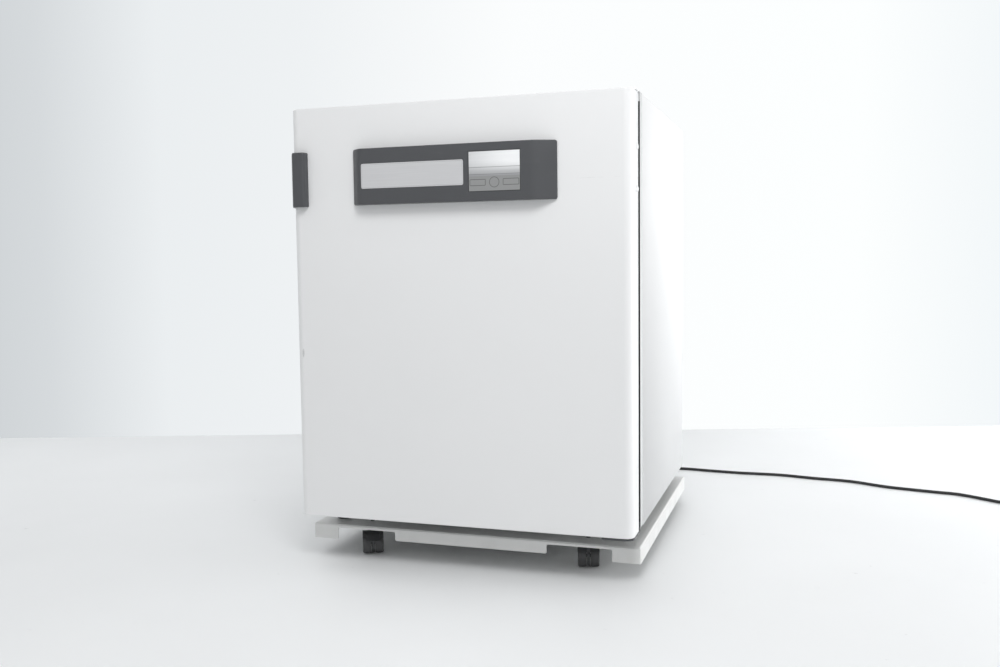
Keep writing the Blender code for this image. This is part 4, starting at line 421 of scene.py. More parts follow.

# %% [markdown]
# The bare plate's narrow raised rim is painted: the distance to its edge picks out a painted highlight line, with a
# thin line of painted shade inside it.

# %% Plate rim
PLATE_LOW, PLATE_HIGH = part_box("name_plate")
RIM_IN, RIM_LINE, RIM_SOFT = 0.0014, 0.0008, 0.0003
RIM_HIGHLIGHT_TONE, RIM_SHADE_TONE = (0.86, 0.865, 0.88), (0.30, 0.30, 0.31)
PLATE_MID, PLATE_HALF = (PLATE_LOW + PLATE_HIGH) / 2, (PLATE_HIGH - PLATE_LOW) / 2
rim_x = (silver.axis("X") - PLATE_MID.x).abs() - PLATE_HALF.x
rim_z = (silver.axis("Z") - PLATE_MID.z).abs() - PLATE_HALF.z
edge_in = rim_x.math("MAXIMUM", rim_z) * -1
# painted highlight along the rim, and a thin line of painted shade just inside it
rim_highlight = 1 - edge_in.step(RIM_IN, RIM_IN + RIM_SOFT)
groove_shade = 1 - edge_in.step(RIM_IN + RIM_LINE, RIM_IN + RIM_LINE + RIM_SOFT)
groove_shade = edge_in.step(RIM_IN, RIM_IN + RIM_SOFT) * groove_shade
silver.mark(rim_highlight, RIM_HIGHLIGHT_TONE)
silver.mark(groove_shade * 0.5, RIM_SHADE_TONE)
print("plate", round(PLATE_HALF.x * 2000), "mm long")

# %% [markdown]
# Soft materials are dull, so their dust and relief carry the look.

# %% Seals, rubber, foam and paper
def soft(name, colour, roughness, dust=0.15, dust_colour=(0.45, 0.44, 0.42), grain=600, depth=0.0001):
    finish = Finish(name, colour, roughness, Specular_IOR_Level=0.35)
    bloom = finish.noise(18, 4).step(0.40, 0.80)
    rough = roughness + bloom * 0.10 + (finish.noise(90, 2) - 0.5) * 0.06
    return finish.wear(finish.blend(bloom * dust, colour, dust_colour), rough, finish.noise(grain, 2), depth, 0.30)


silicone = soft("silicone", (0.66, 0.66, 0.65), 0.52, 0.10, (0.82, 0.82, 0.80))
seal_grey = soft("seal_grey", (0.085, 0.087, 0.090), 0.50, 0.12)
tread = soft("caster_tread", (0.072, 0.073, 0.075), 0.52, 0.20, (0.24, 0.235, 0.23))
foot_rubber = soft("foot_rubber", (0.030, 0.030, 0.031), 0.60, 0.20)
sheath = soft("lead_sheath", (0.022, 0.022, 0.023), 0.38, 0.08, (0.18, 0.18, 0.17), 900, 0.00005)
foam = soft("foam", (0.78, 0.71, 0.50), 0.85, 0.20, (0.88, 0.83, 0.66), 160, 0.0012)
paper = soft("filter_paper", (0.84, 0.84, 0.80), 0.85, 0.10, (0.70, 0.69, 0.64), 420, 0.0002)
print("foam's slot", foam.slot)

# %% [markdown]
# The inner door is float glass. The display is a grey panel behind a gloss window, with a painted reflection of the
# ceiling that makes it brighter towards the top and the right. Its touch keys are thin outlines with nothing in them.

# %% Glass and display
clear_glass = Finish("clear_glass", (0.93, 0.97, 0.955), 0.03, 0.0, Transmission_Weight=1.0, IOR=1.50)
clear_glass.set("Roughness", 0.02 + clear_glass.noise(6, 4).step(0.55, 0.85) * 0.05)
SCREEN_LOW, SCREEN_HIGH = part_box("display_screen")
SCREEN_MID = (SCREEN_LOW + SCREEN_HIGH) / 2
KEY_Z, KEY_LINE, KEY_OUT = SCREEN_LOW.z + 0.0190, 0.0008, 0.0368
KEY_ROUND, KEY_HALF_W, KEY_HALF_H, KEY_CORNER = 0.0105, 0.0172, 0.0063, 0.0016
PANEL_DARK, REFLECTION_TONE, STRIP, INK = (0.27, 0.275, 0.285), (0.93, 0.94, 0.95), (0.275, 0.28, 0.28), (0.055, 0.057, 0.060)
LINES = ((0.595, 0.55), (0.42, 0.45))  # share of the window's height, strength
RIM_FROM, RIM_TO = 0.0016, 0.0010
display_glass = Finish("display_glass", (0.4, 0.4, 0.41), 0.12, 0.0, Coat_Weight=0.8, Coat_Roughness=0.04)
x, z = display_glass.axis("X"), display_glass.axis("Z")


def key(middle, half_width, half_height, corner):
    """A thin line round a rounded box: the distance to the box's inner corner points."""
    dx = ((x - middle).abs() - (half_width - corner)).math("MAXIMUM", 0.0)
    dz = ((z - KEY_Z).abs() - (half_height - corner)).math("MAXIMUM", 0.0)
    away = (dx * dx + dz * dz).math("SQRT") - corner
    return 1 - (away.abs() * (1 / KEY_LINE)).step(0.35, 1.0)


# painted reflection: the window grows lighter towards the top and the right, as if it reflected the ceiling
rise = z.step(SCREEN_LOW.z + 0.026, SCREEN_HIGH.z - 0.022)
right = x.step(SCREEN_LOW.x - 0.03, SCREEN_HIGH.x - 0.01)
painted_reflection = rise * 0.55 + rise * right * 0.45 + (display_glass.noise(40, 2, stretch=(0.2, 1, 4)) - 0.5) * 0.16
strip = 1 - z.step(KEY_Z + 0.0125, KEY_Z + 0.0132)
face = display_glass.blend(strip, display_glass.blend(painted_reflection, PANEL_DARK, REFLECTION_TONE), STRIP)
marks = key(SCREEN_MID.x, KEY_ROUND, KEY_ROUND, KEY_ROUND * 0.99)
for side in (-1, 1):
    marks = marks + key(SCREEN_MID.x + side * KEY_OUT, KEY_HALF_W, KEY_HALF_H, KEY_CORNER)
marks = marks * 0.85
for share, strength in LINES:
    line_z = SCREEN_LOW.z + (SCREEN_HIGH.z - SCREEN_LOW.z) * share
    marks = marks + (1 - ((z - line_z).abs() * 1100).step(0.3, 1.0)) * strength
for place, middle, end in ((x, SCREEN_MID.x, SCREEN_HIGH.x), (z, SCREEN_MID.z, SCREEN_HIGH.z)):
    marks = marks + (place - middle).abs().step(end - middle - RIM_FROM, end - middle - RIM_TO)
display_glass.wear(display_glass.blend(marks.math("MINIMUM", 1.0), face, INK))
print("finishes", len(bpy.data.materials))

# %% [markdown]
# Every new piece is a surface: rows of points, joined by four-sided faces. Rows may close into a ring, the
# stack of rows may close too, and its ends may be capped.

# %% Surfaces from arrays
ANGLE_SHARP = math.radians(38)


@contextmanager
def edited(mesh):
    """The mesh open for editing, and written back."""
    bm = bmesh.new()
    bm.from_mesh(mesh)
    yield bm
    bm.to_mesh(mesh)
    bm.free()


def surface(name, points, ring=True, looped=False, caps=(False, False)):
    """A mesh over points[row, column], with faces between neighbours and n-gon caps."""
    points = np.asarray(points, float)
    rows, columns = points.shape[:2]
    index = np.arange(rows * columns).reshape(rows, columns)
    if ring:
        index = np.hstack([index, index[:, :1]])
    if looped:
        index = np.vstack([index, index[:1]])
    faces = np.stack([index[:-1, :-1], index[:-1, 1:], index[1:, 1:], index[1:, :-1]], -1).reshape(-1, 4)
    ends = index[0, :columns][::-1].tolist(), index[rows - 1, :columns].tolist()
    polygons = faces.tolist() + [end for end, capped in zip(ends, caps) if capped]
    mesh = bpy.data.meshes.new(name)
    mesh.from_pydata(points.reshape(-1, 3).tolist(), [], polygons)
    with edited(mesh) as bm:
        bmesh.ops.remove_doubles(bm, verts=bm.verts, dist=1e-6)
        bmesh.ops.dissolve_degenerate(bm, edges=bm.edges, dist=1e-7)
        bmesh.ops.recalc_face_normals(bm, faces=bm.faces)
    return added(name, mesh)


def dress(piece, finish, body, *nodes, slot=None):
    """Gives a piece its finish and its body, and hides the nodes that it stands for; slot is not used."""
    piece.data.shade_smooth()
    piece.data.set_sharp_from_angle(angle=ANGLE_SHARP)
    piece.data.materials.clear()
    piece.data.materials.append(finish.material)
    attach(piece, body)
    if nodes:
        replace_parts(piece, *nodes)
    return piece


def solidify(piece, thickness):
    sheet = piece.modifiers.new("wall", "SOLIDIFY")
    sheet.thickness, sheet.offset, sheet.use_even_offset = thickness, -1, True


def carve(piece, *cutters):
    """Cuts closed shapes out of a closed piece, and removes the cutters."""
    for cutter in cutters:
        hollow = piece.modifiers.new("cut", "BOOLEAN")
        hollow.object, hollow.operation = cutter, "DIFFERENCE"
    bpy.context.view_layer.update()
    made = bpy.data.meshes.new_from_object(piece.evaluated_get(bpy.context.evaluated_depsgraph_get()))
    piece.modifiers.clear()
    piece.data = made
    for cutter in cutters:
        bpy.data.objects.remove(cutter, do_unlink=True)
    return piece


def broken_edges(piece, width, segments=3):
    """A bevel on every sharp edge, with normals that keep the flats flat."""
    edges = piece.modifiers.new("edges", "BEVEL")
    edges.width, edges.segments, edges.harden_normals = width, segments, True
    edges.limit_method, edges.angle_limit = "ANGLE", ANGLE_SHARP
    return piece


print("edges sharper than", round(math.degrees(ANGLE_SHARP)), "degrees stay sharp")

# %% [markdown]
# A solid that is right but faceted gets a better copy: merged triangles, a narrow bevel and face-weighted
# normals. The frame's own mesh is never touched.

# %% Refined copies of solids
CORNERS = ("front_left", "front_right", "back_left", "back_right")
REFINED = [  # finish, bevel width, nodes
    (zinc_plate, 0.0, "base_pan"), (frame_grey, 0.0012, "front_frame"), (foam, 0.0, "insulation_jacket"),
    (white_enamel, 0.0003, "rear_cover"), (polished_steel, 0.0004, "glass_hinge_top", "glass_hinge_bottom"),
    (black_moulding, 0.0003, "glass_catch", "mains_switch"), (zinc_plate, 0.0003, "fan_motor"),
    (steel_upright, 0.0003, "shelf_rack_left", "shelf_rack_right", "air_baffle", "glass_hinge_rail"),
    (steel_across, 0.0003, "humidity_cover", "shelf_1", "shelf_2", "shelf_3"), (paper, 0.0, "hepa_filter"),
    (polished_steel, 0.0002, "sensor_probe"), (panel_grey, 0.0004, "supply_panel"), (steel_across, 0.0, "door_liner"),
    (polished_steel, 0.0003, "access_port"), (black_moulding, 0.0, "fan_wheel"), (base_enamel, 0.0005, "base_frame"),
    (silicone, 0.0006, "port_plug"), (caster_grey, 0.0004, *(f"caster_fork_{name}" for name in CORNERS)),
    (caster_grey, 0.0004, "brake_pedal_front_left", "brake_pedal_front_right"),
    (foot_rubber, 0.0005, *(f"levelling_foot_{name}" for name in CORNERS)),
]


def refined(node, finish, edge=0.0, slot=None):
    piece = added(f"{node}_fine", frame["nodes"][node].data.copy())
    with edited(piece.data) as bm:
        bmesh.ops.remove_doubles(bm, verts=bm.verts, dist=2e-6)
        bmesh.ops.dissolve_limit(bm, angle_limit=math.radians(0.6), verts=bm.verts, edges=bm.edges)
    dress(piece, finish, frame["nodes"][node]["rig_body"], node, slot=slot)
    if edge:
        broken_edges(piece, edge, 2)
    normals = piece.modifiers.new("normals", "WEIGHTED_NORMAL")
    normals.keep_sharp = True
    return piece


for finish, edge, *nodes in REFINED:
    for node in nodes:
        refined(node, finish, edge)
# painted shade: the lower hinge bracket is plated steel, given the charcoal moulding's colour for the shade it sits in
# under the door
refined("hinge_bracket_bottom", charcoal, 0.0005, slot="galvanised")
print("refined", sum(len(row) - 2 for row in REFINED) + 1)

# %% [markdown]
# Many pieces start from a rounded rectangle. Support points just beyond each arc keep the flats flat when the
# shading is smoothed.

# %% Outlines
SUPPORT = 0.0008


def rounded_rectangle(x0, x1, z0, z1, radius, steps=10):
    """Points anticlockwise: four corner arcs, each with a support point before and after it."""
    corners = ((x1 - radius, z0 + radius), (x1 - radius, z1 - radius), (x0 + radius, z1 - radius),
               (x0 + radius, z0 + radius))
    pieces = []
    for quarter, corner in enumerate(corners, -1):
        turn = quarter * np.pi / 2
        part = corner + radius * heading(turn + arc(steps + 1))
        along = np.array([-math.sin(turn), math.cos(turn)]) * SUPPORT
        pieces += [part[:1] - along, part, part[-1:] - heading(turn) * SUPPORT]
    return np.vstack(pieces)


def grown(low, high, out, radius, steps=10):
    """A rounded rectangle round a box seen from the front, moved out by a distance."""
    return rounded_rectangle(low.x - out, high.x + out, low.z - out, high.z + out, radius + out, steps)


def facing(outline, y):
    """An outline of (x, z) points set upright at one depth; y may also be an array."""
    return np.stack([outline[:, 0], np.broadcast_to(y, len(outline)), outline[:, 1]], 1)


def lying(outline, z):
    return np.stack([outline[:, 0], outline[:, 1], np.broadcast_to(z, len(outline))], 1)


def rolled_ends(section, low, high, draw, rise, steps):
    """Rows of section(inset) at both ends of a height, drawn in there along a quarter ellipse."""
    lower = [lying(section(draw * s), low + rise * c) for s, c in turns(steps)]
    return lower, [lying(section(draw * c), high - rise * s) for s, c in turns(steps)]


def nested(name, low, high, radius, places, steps=10, looped=False):
    """Rounded rectangles round a box, each moved out by a distance and set at a depth."""
    rows = [facing(grown(low, high, out, radius, steps), y) for out, y in places]
    return surface(name, rows, looped=looped, caps=(not looped, not looped))


def prism(name, outline, low, high):
    return surface(name, [lying(outline, low), lying(outline, high)], caps=(True, True))


def revolved(name, profile, centre, axis, steps=48, **how):
    """A profile of (radius, distance along the axis) points carried round the axis."""
    axis = normal(np.asarray(axis, float))
    side = normal(np.cross(axis, (0, 0, 1) if abs(axis[2]) < 0.9 else (1, 0, 0)))
    round_it = heading(around(steps)) @ np.array([side, np.cross(axis, side)])
    profile = np.asarray(profile, float)
    points = np.asarray(centre) + profile[:, None, :1] * round_it + profile[:, None, 1:] * axis
    return surface(name, points, **how)


print("support points", SUPPORT * 1000, "mm beyond each arc")

# %% [markdown]
# The door's shell is one folded sheet. Its section runs from the back edge round a 20 mm corner, across the
# front and back again, and is carried up the door's height.

# %% Door shell
DOOR_LOW, DOOR_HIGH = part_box("door_shell")
DOOR_CORNER, DOOR_END_R, SHEET = 0.020, 0.002, 0.0015
DOOR_FRONT, DOOR_BACK = DOOR_LOW.y, DOOR_HIGH.y


def door_section(inset):
    """The door seen from above, open at the back; inset moves it in by a distance."""
    centre = np.array([DOOR_LOW.x, DOOR_FRONT]) + DOOR_CORNER
    half = np.vstack([
        (DOOR_LOW.x + inset, DOOR_BACK), (DOOR_LOW.x + inset, centre[1] + SUPPORT),
        centre - (DOOR_CORNER - inset) * heading(arc(19)), (centre[0] + SUPPORT, DOOR_FRONT + inset),
    ])
    return np.vstack([half, half[::-1] * (-1, 1)])


lower, upper = rolled_ends(door_section, DOOR_LOW.z, DOOR_HIGH.z, DOOR_END_R, DOOR_END_R, 6)
straight = [lying(door_section(0), z) for z in (DOOR_LOW.z + DOOR_END_R + SUPPORT, DOOR_HIGH.z - DOOR_END_R - SUPPORT)]
inner = door_section(DOOR_END_R + SUPPORT)
door_rows = [lying(inner, DOOR_LOW.z), *lower, *straight, *upper, lying(inner, DOOR_HIGH.z)]
shell = surface("door_skin", door_rows, ring=False, caps=(True, True))
solidify(dress(shell, door_enamel, "outer_door", "door_shell"), SHEET)
print("door", [round(v, 3) for v in (DOOR_HIGH - DOOR_LOW)])

# %% [markdown]
# The casing is folded over the top, with 5 mm bends and a flange turned in at the back.

# %% Casing
CASING_LOW, CASING_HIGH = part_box("outer_casing")
CASING_BEND, CASING_FLANGE = 0.005, 0.014


def casing_section(inset, bend):
    """Up the left side, over the bend, across the top; the right half mirrors it."""
    x, top = CASING_HIGH.x - inset, CASING_HIGH.z - inset
    half = np.vstack([
        (-x, CASING_LOW.z), (-x, top - bend - SUPPORT),
        np.array([-x + bend, top - bend]) + heading(arc(9)) * (-bend, bend), (-x + bend + SUPPORT, top),
    ])
    return np.vstack([half, half[::-1] * (-1, 1)])


casing_rows = [facing(casing_section(0, CASING_BEND), y)
               for y in (CASING_LOW.y, CASING_HIGH.y - SUPPORT, CASING_HIGH.y)]
casing_rows.append(facing(casing_section(CASING_FLANGE, CASING_BEND / 4), CASING_HIGH.y))
casing = surface("casing_skin", casing_rows, ring=False)
solidify(dress(casing, white_enamel, "root", "outer_casing"), SHEET)
print("casing rows", len(casing_rows))

# %% [markdown]
# The housing's front runs up a short ramp, along a flat and down a longer ramp, so its depth is a function of
# x. Rings of the outline climb the wall, roll over the edge and close towards their middle line.

# %% Display housing
HOUSING_LOW, HOUSING_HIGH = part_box("display_housing")
RAMP_LEFT, RAMP_RIGHT, RAMP_SIDE = 0.023, 0.043, 0.004
HOUSING_CORNER, HOUSING_EDGE = 0.0048, 0.0022
HOUSING_SEAT, HOUSING_FACE = HOUSING_HIGH.y, HOUSING_LOW.y
CLOSED = 0.999999  # how far the last ring is squeezed towards its middle line
POCKET_GAP, POCKET_AHEAD, PLATE_CORNER, SCREEN_CORNER = 0.0003, 0.01, 0.004, 0.0012


def ramp(x, soft=0.006):
    """How far the housing's face stands off the door: two ramps, blended into the flat."""
    full = HOUSING_SEAT - HOUSING_FACE
    left = RAMP_SIDE + (x - HOUSING_LOW.x) * (full - RAMP_SIDE) / RAMP_LEFT
    right = RAMP_SIDE + (HOUSING_HIGH.x - x) * (full - RAMP_SIDE) / RAMP_RIGHT
    lower = np.minimum(left, right)
    gap = np.clip((lower - full + soft / 2) / soft, 0, 1)
    return np.minimum(lower, full) - soft / 8 * (1 - (2 * gap - 1) ** 2) * (gap > 0) * (gap < 1)


def dense_rectangle(x0, x1, z0, z1, radius, along=64):
    """A rounded rectangle whose level sides have many points, so that depth can follow x."""
    right = np.array([x1 - radius, z1 - radius]) + radius * heading(arc(9)[:-1])
    top = pair(np.linspace(x1 - radius, x0 + radius, along), np.full(along, z1))
    half = np.vstack([right, top, right[::-1] * (-1, 1) + (x0 + x1, 0)])
    return np.vstack([half, half[::-1] * (1, -1) + (0, z0 + z1)])


def housing_ring(inset, share, squeeze=0.0):
    """The outline moved in by inset, its face pressed out by a share of the ramp's depth."""
    low, high = HOUSING_LOW, HOUSING_HIGH
    flat = dense_rectangle(low.x + inset, high.x - inset, low.z + inset, high.z - inset, HOUSING_CORNER - inset)
    middle = (low.z + high.z) / 2
    flat = pair(flat[:, 0], middle + (flat[:, 1] - middle) * (1 - squeeze))
    return facing(flat, HOUSING_SEAT - ramp(flat[:, 0]) + HOUSING_EDGE * (1 - share))


housing_rows = [facing(housing_ring(0, 1)[:, (0, 2)], HOUSING_SEAT), housing_ring(0, -0.1)]
housing_rows += [housing_ring(HOUSING_EDGE * c, 1 - s) for s, c in turns(8)]
housing_rows += [housing_ring(HOUSING_EDGE + SUPPORT, 1), housing_ring(HOUSING_EDGE + SUPPORT, 1, CLOSED)]
housing = surface("display_moulding", housing_rows, caps=(True, False))


def pocket(name, low, high, corner):
    return nested(name, low, high, corner, [(POCKET_GAP, HOUSING_FACE - POCKET_AHEAD), (POCKET_GAP, high.y)])


carve(housing, pocket("screen_cutter", SCREEN_LOW, SCREEN_HIGH, SCREEN_CORNER),
      pocket("plate_cutter", PLATE_LOW, PLATE_HIGH, PLATE_CORNER))
dress(housing, charcoal, "outer_door", "display_housing")
print("housing faces", len(housing.data.polygons))

# %% [markdown]
# In the housing sit a bare satin plate and the display's window, raised a little.

# %% Plate and window
def flat_boss(name, low, high, radius, edge):
    """From the box's back face to its front face, where the edge rolls over by a quarter circle."""
    rolled = [(-edge * c, low.y + edge * s) for s, c in turns(5)]
    wall = [(0, high.y), (0, high.y - SUPPORT / 4)]
    return nested(name, low, high, radius, [*wall, *rolled, (-edge - SUPPORT, low.y)])


plate = flat_boss("silver_face", PLATE_LOW, PLATE_HIGH, PLATE_CORNER, 0.0005)
dress(plate, silver, "outer_door", "name_plate")
window = flat_boss("display_window", SCREEN_LOW, SCREEN_HIGH, SCREEN_CORNER, 0.0004)
dress(window, display_glass, "outer_door", "display_screen")
print("window", [round(v * 1000, 1) for v in SCREEN_HIGH - SCREEN_LOW], "mm")

# %% [markdown]
# The handle wraps the door's left edge: a flat front, a soft nose and a thin lip for the fingers. Its section
# is carried up its height and drawn in at both ends.

# %% Handle
HANDLE_LOW, HANDLE_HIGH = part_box("door_handle")
HANDLE_END, END_DRAW, HANDLE_LESS, HANDLE_GAP, LIP_T = 0.0036, 0.0016, 0.002, 0.0003, 0.0034


def filleted(corners, steps=9):
    """An outline through corners (x, y, radius), each replaced by an arc tangent to both sides."""
    points = []
    for i, (x, y, radius) in enumerate(corners):
        here = np.array([x, y])
        if radius == 0:
            points.append(here)
            continue
        before = normal(np.array(corners[i - 1][:2]) - here)
        after = normal(np.array(corners[(i + 1) % len(corners)][:2]) - here)
        half = math.acos(np.clip(before @ after, -1, 1)) / 2
        centre = here + normal(before + after) * radius / math.sin(half)
        first = here + before * radius / math.tan(half) - centre
        last = here + after * radius / math.tan(half) - centre
        start = math.atan2(first[1], first[0])
        sweep = (math.atan2(last[1], last[0]) - start + math.pi) % (2 * math.pi) - math.pi
        points += list(centre + radius * heading(start + sweep * np.linspace(0, 1, steps + 1)))
    return np.array(points)


def drawn_in(outline, distance):
    """The outline with each point moved inwards along the mean normal of its two sides."""
    edges = normal(np.roll(outline, -1, 0) - outline)
    normals = pair(edges[:, 1], -edges[:, 0])
    mean = normal(normals + np.roll(normals, 1, 0))
    area = np.sum(outline[:, 0] * np.roll(outline[:, 1], -1) - outline[:, 1] * np.roll(outline[:, 0], -1))
    return outline - mean * distance * np.sign(area)


def handle_outline():
    """The handle seen from above; the last arc hugs the door's rounded edge."""
    side, front, face = DOOR_LOW.x, DOOR_FRONT, HANDLE_LOW.y + HANDLE_LESS
    lip_x, lip_y = HANDLE_LOW.x, HANDLE_HIGH.y
    hug = np.linspace(math.pi * 1.5, math.pi + math.radians(20), 14)
    along_door = np.array([side, front]) + DOOR_CORNER + (DOOR_CORNER + HANDLE_GAP) * heading(hug)
    outer = filleted([
        (side + 0.0425, front - HANDLE_GAP, 0), (side + 0.0410, face, 0.0065), (side + 0.0125, face, 0.008),
        (side - 0.0095, front + 0.019, 0.014), (lip_x, lip_y, LIP_T * 0.45), (lip_x + LIP_T, lip_y, LIP_T * 0.45),
        (side - 0.0064, front + 0.022, 0.0025), (*along_door[-1], 0),
    ])
    return np.vstack([outer[:-1], along_door[::-1]])


outline = handle_outline()
lower, upper = rolled_ends(lambda inset: drawn_in(outline, inset), HANDLE_LOW.z, HANDLE_HIGH.z, END_DRAW, HANDLE_END, 7)
handle = surface("door_grip", lower + upper, caps=(True, True))
dress(handle, charcoal, "outer_door", "door_handle")
print("handle outline", len(outline), "points")

# %% [markdown]
# The floor is pale painted concrete that keeps the machine's shadow. The backdrop shows its own brightness to the
# camera and to reflections, with painted shade that darkens it towards the left, and nothing from behind, so that the
# machine's back can be looked at.

# %% Stage
FLOOR_REACH, BACKDROP_AWAY, BACKDROP_SIZE = 9.0, 3.93, 6.0
FLOOR_TONE, FLOOR_SPOT = (0.85, 0.862, 0.868), (0.42, 0.42, 0.42)
WALL_FROM, WALL_TO = -2.6, 1.6
# painted shade: the backdrop's glow darkens towards the left, standing in for the shade at that side of the room
WALL_SHADE_TONES = [  # world x, and the tone that the wall shows there
    (-2.6, (0.60, 0.63, 0.65)), (-2.2, (0.672, 0.70, 0.72)), (-1.75, (0.83, 0.858, 0.875)),
    (-1.2, (0.86, 0.885, 0.90)), (-0.4, (0.97, 0.985, 0.99)), (0.9, (0.98, 1.0, 1.0)), (1.6, (0.88, 0.92, 0.94)),
]
WORLD_LIGHT, WORLD_TONE = 0.60, (0.99, 0.995, 1.0, 1)
LAMPS = [  # name, place, aim, size, watts
    ("side_lamp", (2.5, 0.8, 0.55), (0.39, 0.0, 0.25), (3.0, 1.0), 38),
    ("left_lamp", (-2.3, 0.6, 2.2), (-1.0, -0.6, 0.0), (1.6, 1.2), 22),
    ("front_lamp", (0.7, -1.7, 2.2), (0.35, -0.4, 1.05), (0.9, 0.7), 20),
]


def stage_sheet(name, corner, across, up, finish):
    """A flat sheet from one corner along two directions."""
    corner, across, up = (np.asarray(v, float) for v in (corner, across, up))
    sheet = surface(name, [[corner, corner + across], [corner + up, corner + across + up]], ring=False)
    sheet.data.materials.append(finish.material)


floor_paint = Finish("floor_paint", FLOOR_TONE, 0.55, Specular_IOR_Level=0.3)
spots = floor_paint.noise(26, 5, roughness=0.65).step(0.665, 0.72) * floor_paint.noise(3.1, 2).step(0.44, 0.60)
cloud = floor_paint.noise(2.2, 3)
worn = floor_paint.blend(cloud, tint(FLOOR_TONE, -0.03), tint(FLOOR_TONE, 0.03))
floor_paint.wear(floor_paint.blend(spots * 0.30, worn, FLOOR_SPOT), 0.50 + (cloud - 0.5) * 0.12)

wall_paint = Finish("backdrop_paint", (0.9, 0.91, 0.92), 0.8)
stops = [((x - WALL_FROM) / (WALL_TO - WALL_FROM), tone) for x, tone in WALL_SHADE_TONES]
along_wall = wall_paint.axis("X").step(WALL_FROM, WALL_TO, "LINEAR")
painted_wall_shade = wall_paint.node("ShaderNodeValToRGB", {"stops": stops}, {"Fac": along_wall})
glow = wall_paint.node("ShaderNodeEmission", None, {"Color": painted_wall_shade, "Strength": 1.0})
seen = 0
for kind in ("Camera", "Glossy", "Transmission"):
    seen = wall_paint.node("ShaderNodeLightPath", output=f"Is {kind} Ray") + seen
lit = Socket(wall_paint, wall_paint.shader.outputs[0])
front_face = wall_paint.node("ShaderNodeMixShader", None, {0: seen.math("MINIMUM", 1.0), 1: lit, 2: glow})
behind = wall_paint.node("ShaderNodeNewGeometry", output="Backfacing")
clear = wall_paint.node("ShaderNodeBsdfTransparent")
one_sided = wall_paint.node("ShaderNodeMixShader", None, {0: behind, 1: front_face, 2: clear})
wall_paint.feed(wall_paint.tree.nodes["Material Output"].inputs["Surface"], one_sided)

stage_sheet("floor", (-FLOOR_REACH, -FLOOR_REACH, 0), (2 * FLOOR_REACH, 0, 0), (0, 2 * FLOOR_REACH, 0), floor_paint)
ahead, across = np.array([-math.sin(YAW), math.cos(YAW), 0]), np.array([math.cos(YAW), math.sin(YAW), 0])
wall_corner = np.array([CAMERA_AT.x, CAMERA_AT.y, 0]) + ahead * BACKDROP_AWAY - across * BACKDROP_SIZE
stage_sheet("backdrop", wall_corner, across * 2 * BACKDROP_SIZE, (0, 0, BACKDROP_SIZE), wall_paint)

world = bpy.data.worlds.new("studio")
bpy.context.scene.world = world
world.use_nodes = True
sky = world.node_tree.nodes["Background"]
sky.inputs["Color"].default_value, sky.inputs["Strength"].default_value = WORLD_TONE, WORLD_LIGHT
for name, place, aim, size, watts in LAMPS:
    lamp = bpy.data.lights.new(name, "AREA")
    lamp.shape, lamp.size, lamp.size_y, lamp.energy = "RECTANGLE", *size, watts
    holder = added(name, lamp)
    holder.location = place
    holder.rotation_euler = (Vector(aim) - Vector(place)).to_track_quat("-Z", "Y").to_euler()
bpy.context.scene.view_settings.view_transform = "Standard"
print("lamps", len(LAMPS))

# %% [markdown]
# The lead is a curve with a round bevel. Its connector and plug carry ribbed strain reliefs.

# %% The lead and what is on it
CONNECTOR_END = 0.4640


def lead_curve():
    """A round tube along the route, whose points are joined by straight spans."""
    curve = bpy.data.curves.new("mains_lead", "CURVE")
    curve.dimensions, curve.bevel_depth, curve.bevel_resolution, curve.use_fill_caps = "3D", LEAD_R, 6, True
    spline = curve.splines.new("POLY")
    spline.points.add(len(lead_path) - 1)
    spline.points.foreach_set("co", np.column_stack([lead_path, np.ones(len(lead_path))]).ravel())
    piece = added("mains_lead", curve)
    curve.materials.append(sheath.material)
    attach(piece, "root")
    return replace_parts(piece, "mains_cord", "mains_cord_coil")


def ribbed_boot(name, centre, axis, length, wide, narrow=0.0058, ribs=6):
    """A taper from wide to narrow whose radius dips by a raised cosine between its ribs."""
    t = np.linspace(0, 1, ribs * 8 + 1)
    dip = 0.5 - 0.5 * np.cos(2 * np.pi * ribs * t)
    radius = wide + (narrow - wide) * t - 0.0011 * dip
    boot = revolved(name, np.vstack([(0, 0), pair(radius, t * length), (0, length)]), centre, axis, 32)
    return dress(boot, sheath, "root", slot="black_moulding")


lead = lead_curve()
connector = refined("mains_connector", black_moulding, 0.0006)
relief_1 = ribbed_boot("connector_relief", (0.250, CONNECTOR_END - 0.001, 0.250), (0, 1, 0), 0.0288, 0.0088)
plug = refined("mains_plug", black_moulding, 0.0008)
relief_2 = ribbed_boot("plug_relief", plug_start + plug_along * 0.0272, -plug_along, 0.0268, 0.0096)
print("points of the lead", len(lead_path))

# %% [markdown]
# A tie keeps the coil together: a rounded band round the strands, thin where it lies on the floor.

# %% The tie on the coil
TIE_AT, TIE_WIDTH, TIE_T, TIE_FOOT = math.radians(300), 0.006, 0.0009, 0.00022


def coil_tie():
    """A closed band: outlines across the strands at both edges of its width, outside and inside."""
    low, high = COIL_INNER - LEAD_R, COIL_OUTER + LEAD_R
    top = LEAD_ON_FLOOR_Z + COIL_RISE + LEAD_R
    outer = rounded_rectangle(low - TIE_T, high + TIE_T, 0.00004, top + TIE_T, 0.004)
    inner = rounded_rectangle(low - 0.0001, high + 0.0001, TIE_FOOT, top + 0.0001, 0.0034)
    along = np.array([-math.sin(TIE_AT), math.cos(TIE_AT), 0]) * TIE_WIDTH / 2
    outward = np.array([*heading(TIE_AT), 0])

    def placed(outline, side):
        return (*COIL_CENTRE, 0) + outline[:, :1] * outward + outline[:, 1:] * (0, 0, 1) + along * side

    rows = [placed(outer, -1), placed(outer, 1), placed(inner, 1), placed(inner, -1)]
    return dress(surface("coil_tie", rows, looped=True), black_moulding, "root")


tie = coil_tie()
print("tie", round((COIL_OUTER - COIL_INNER + LEAD_D) * 1000, 1), "mm across its strands")

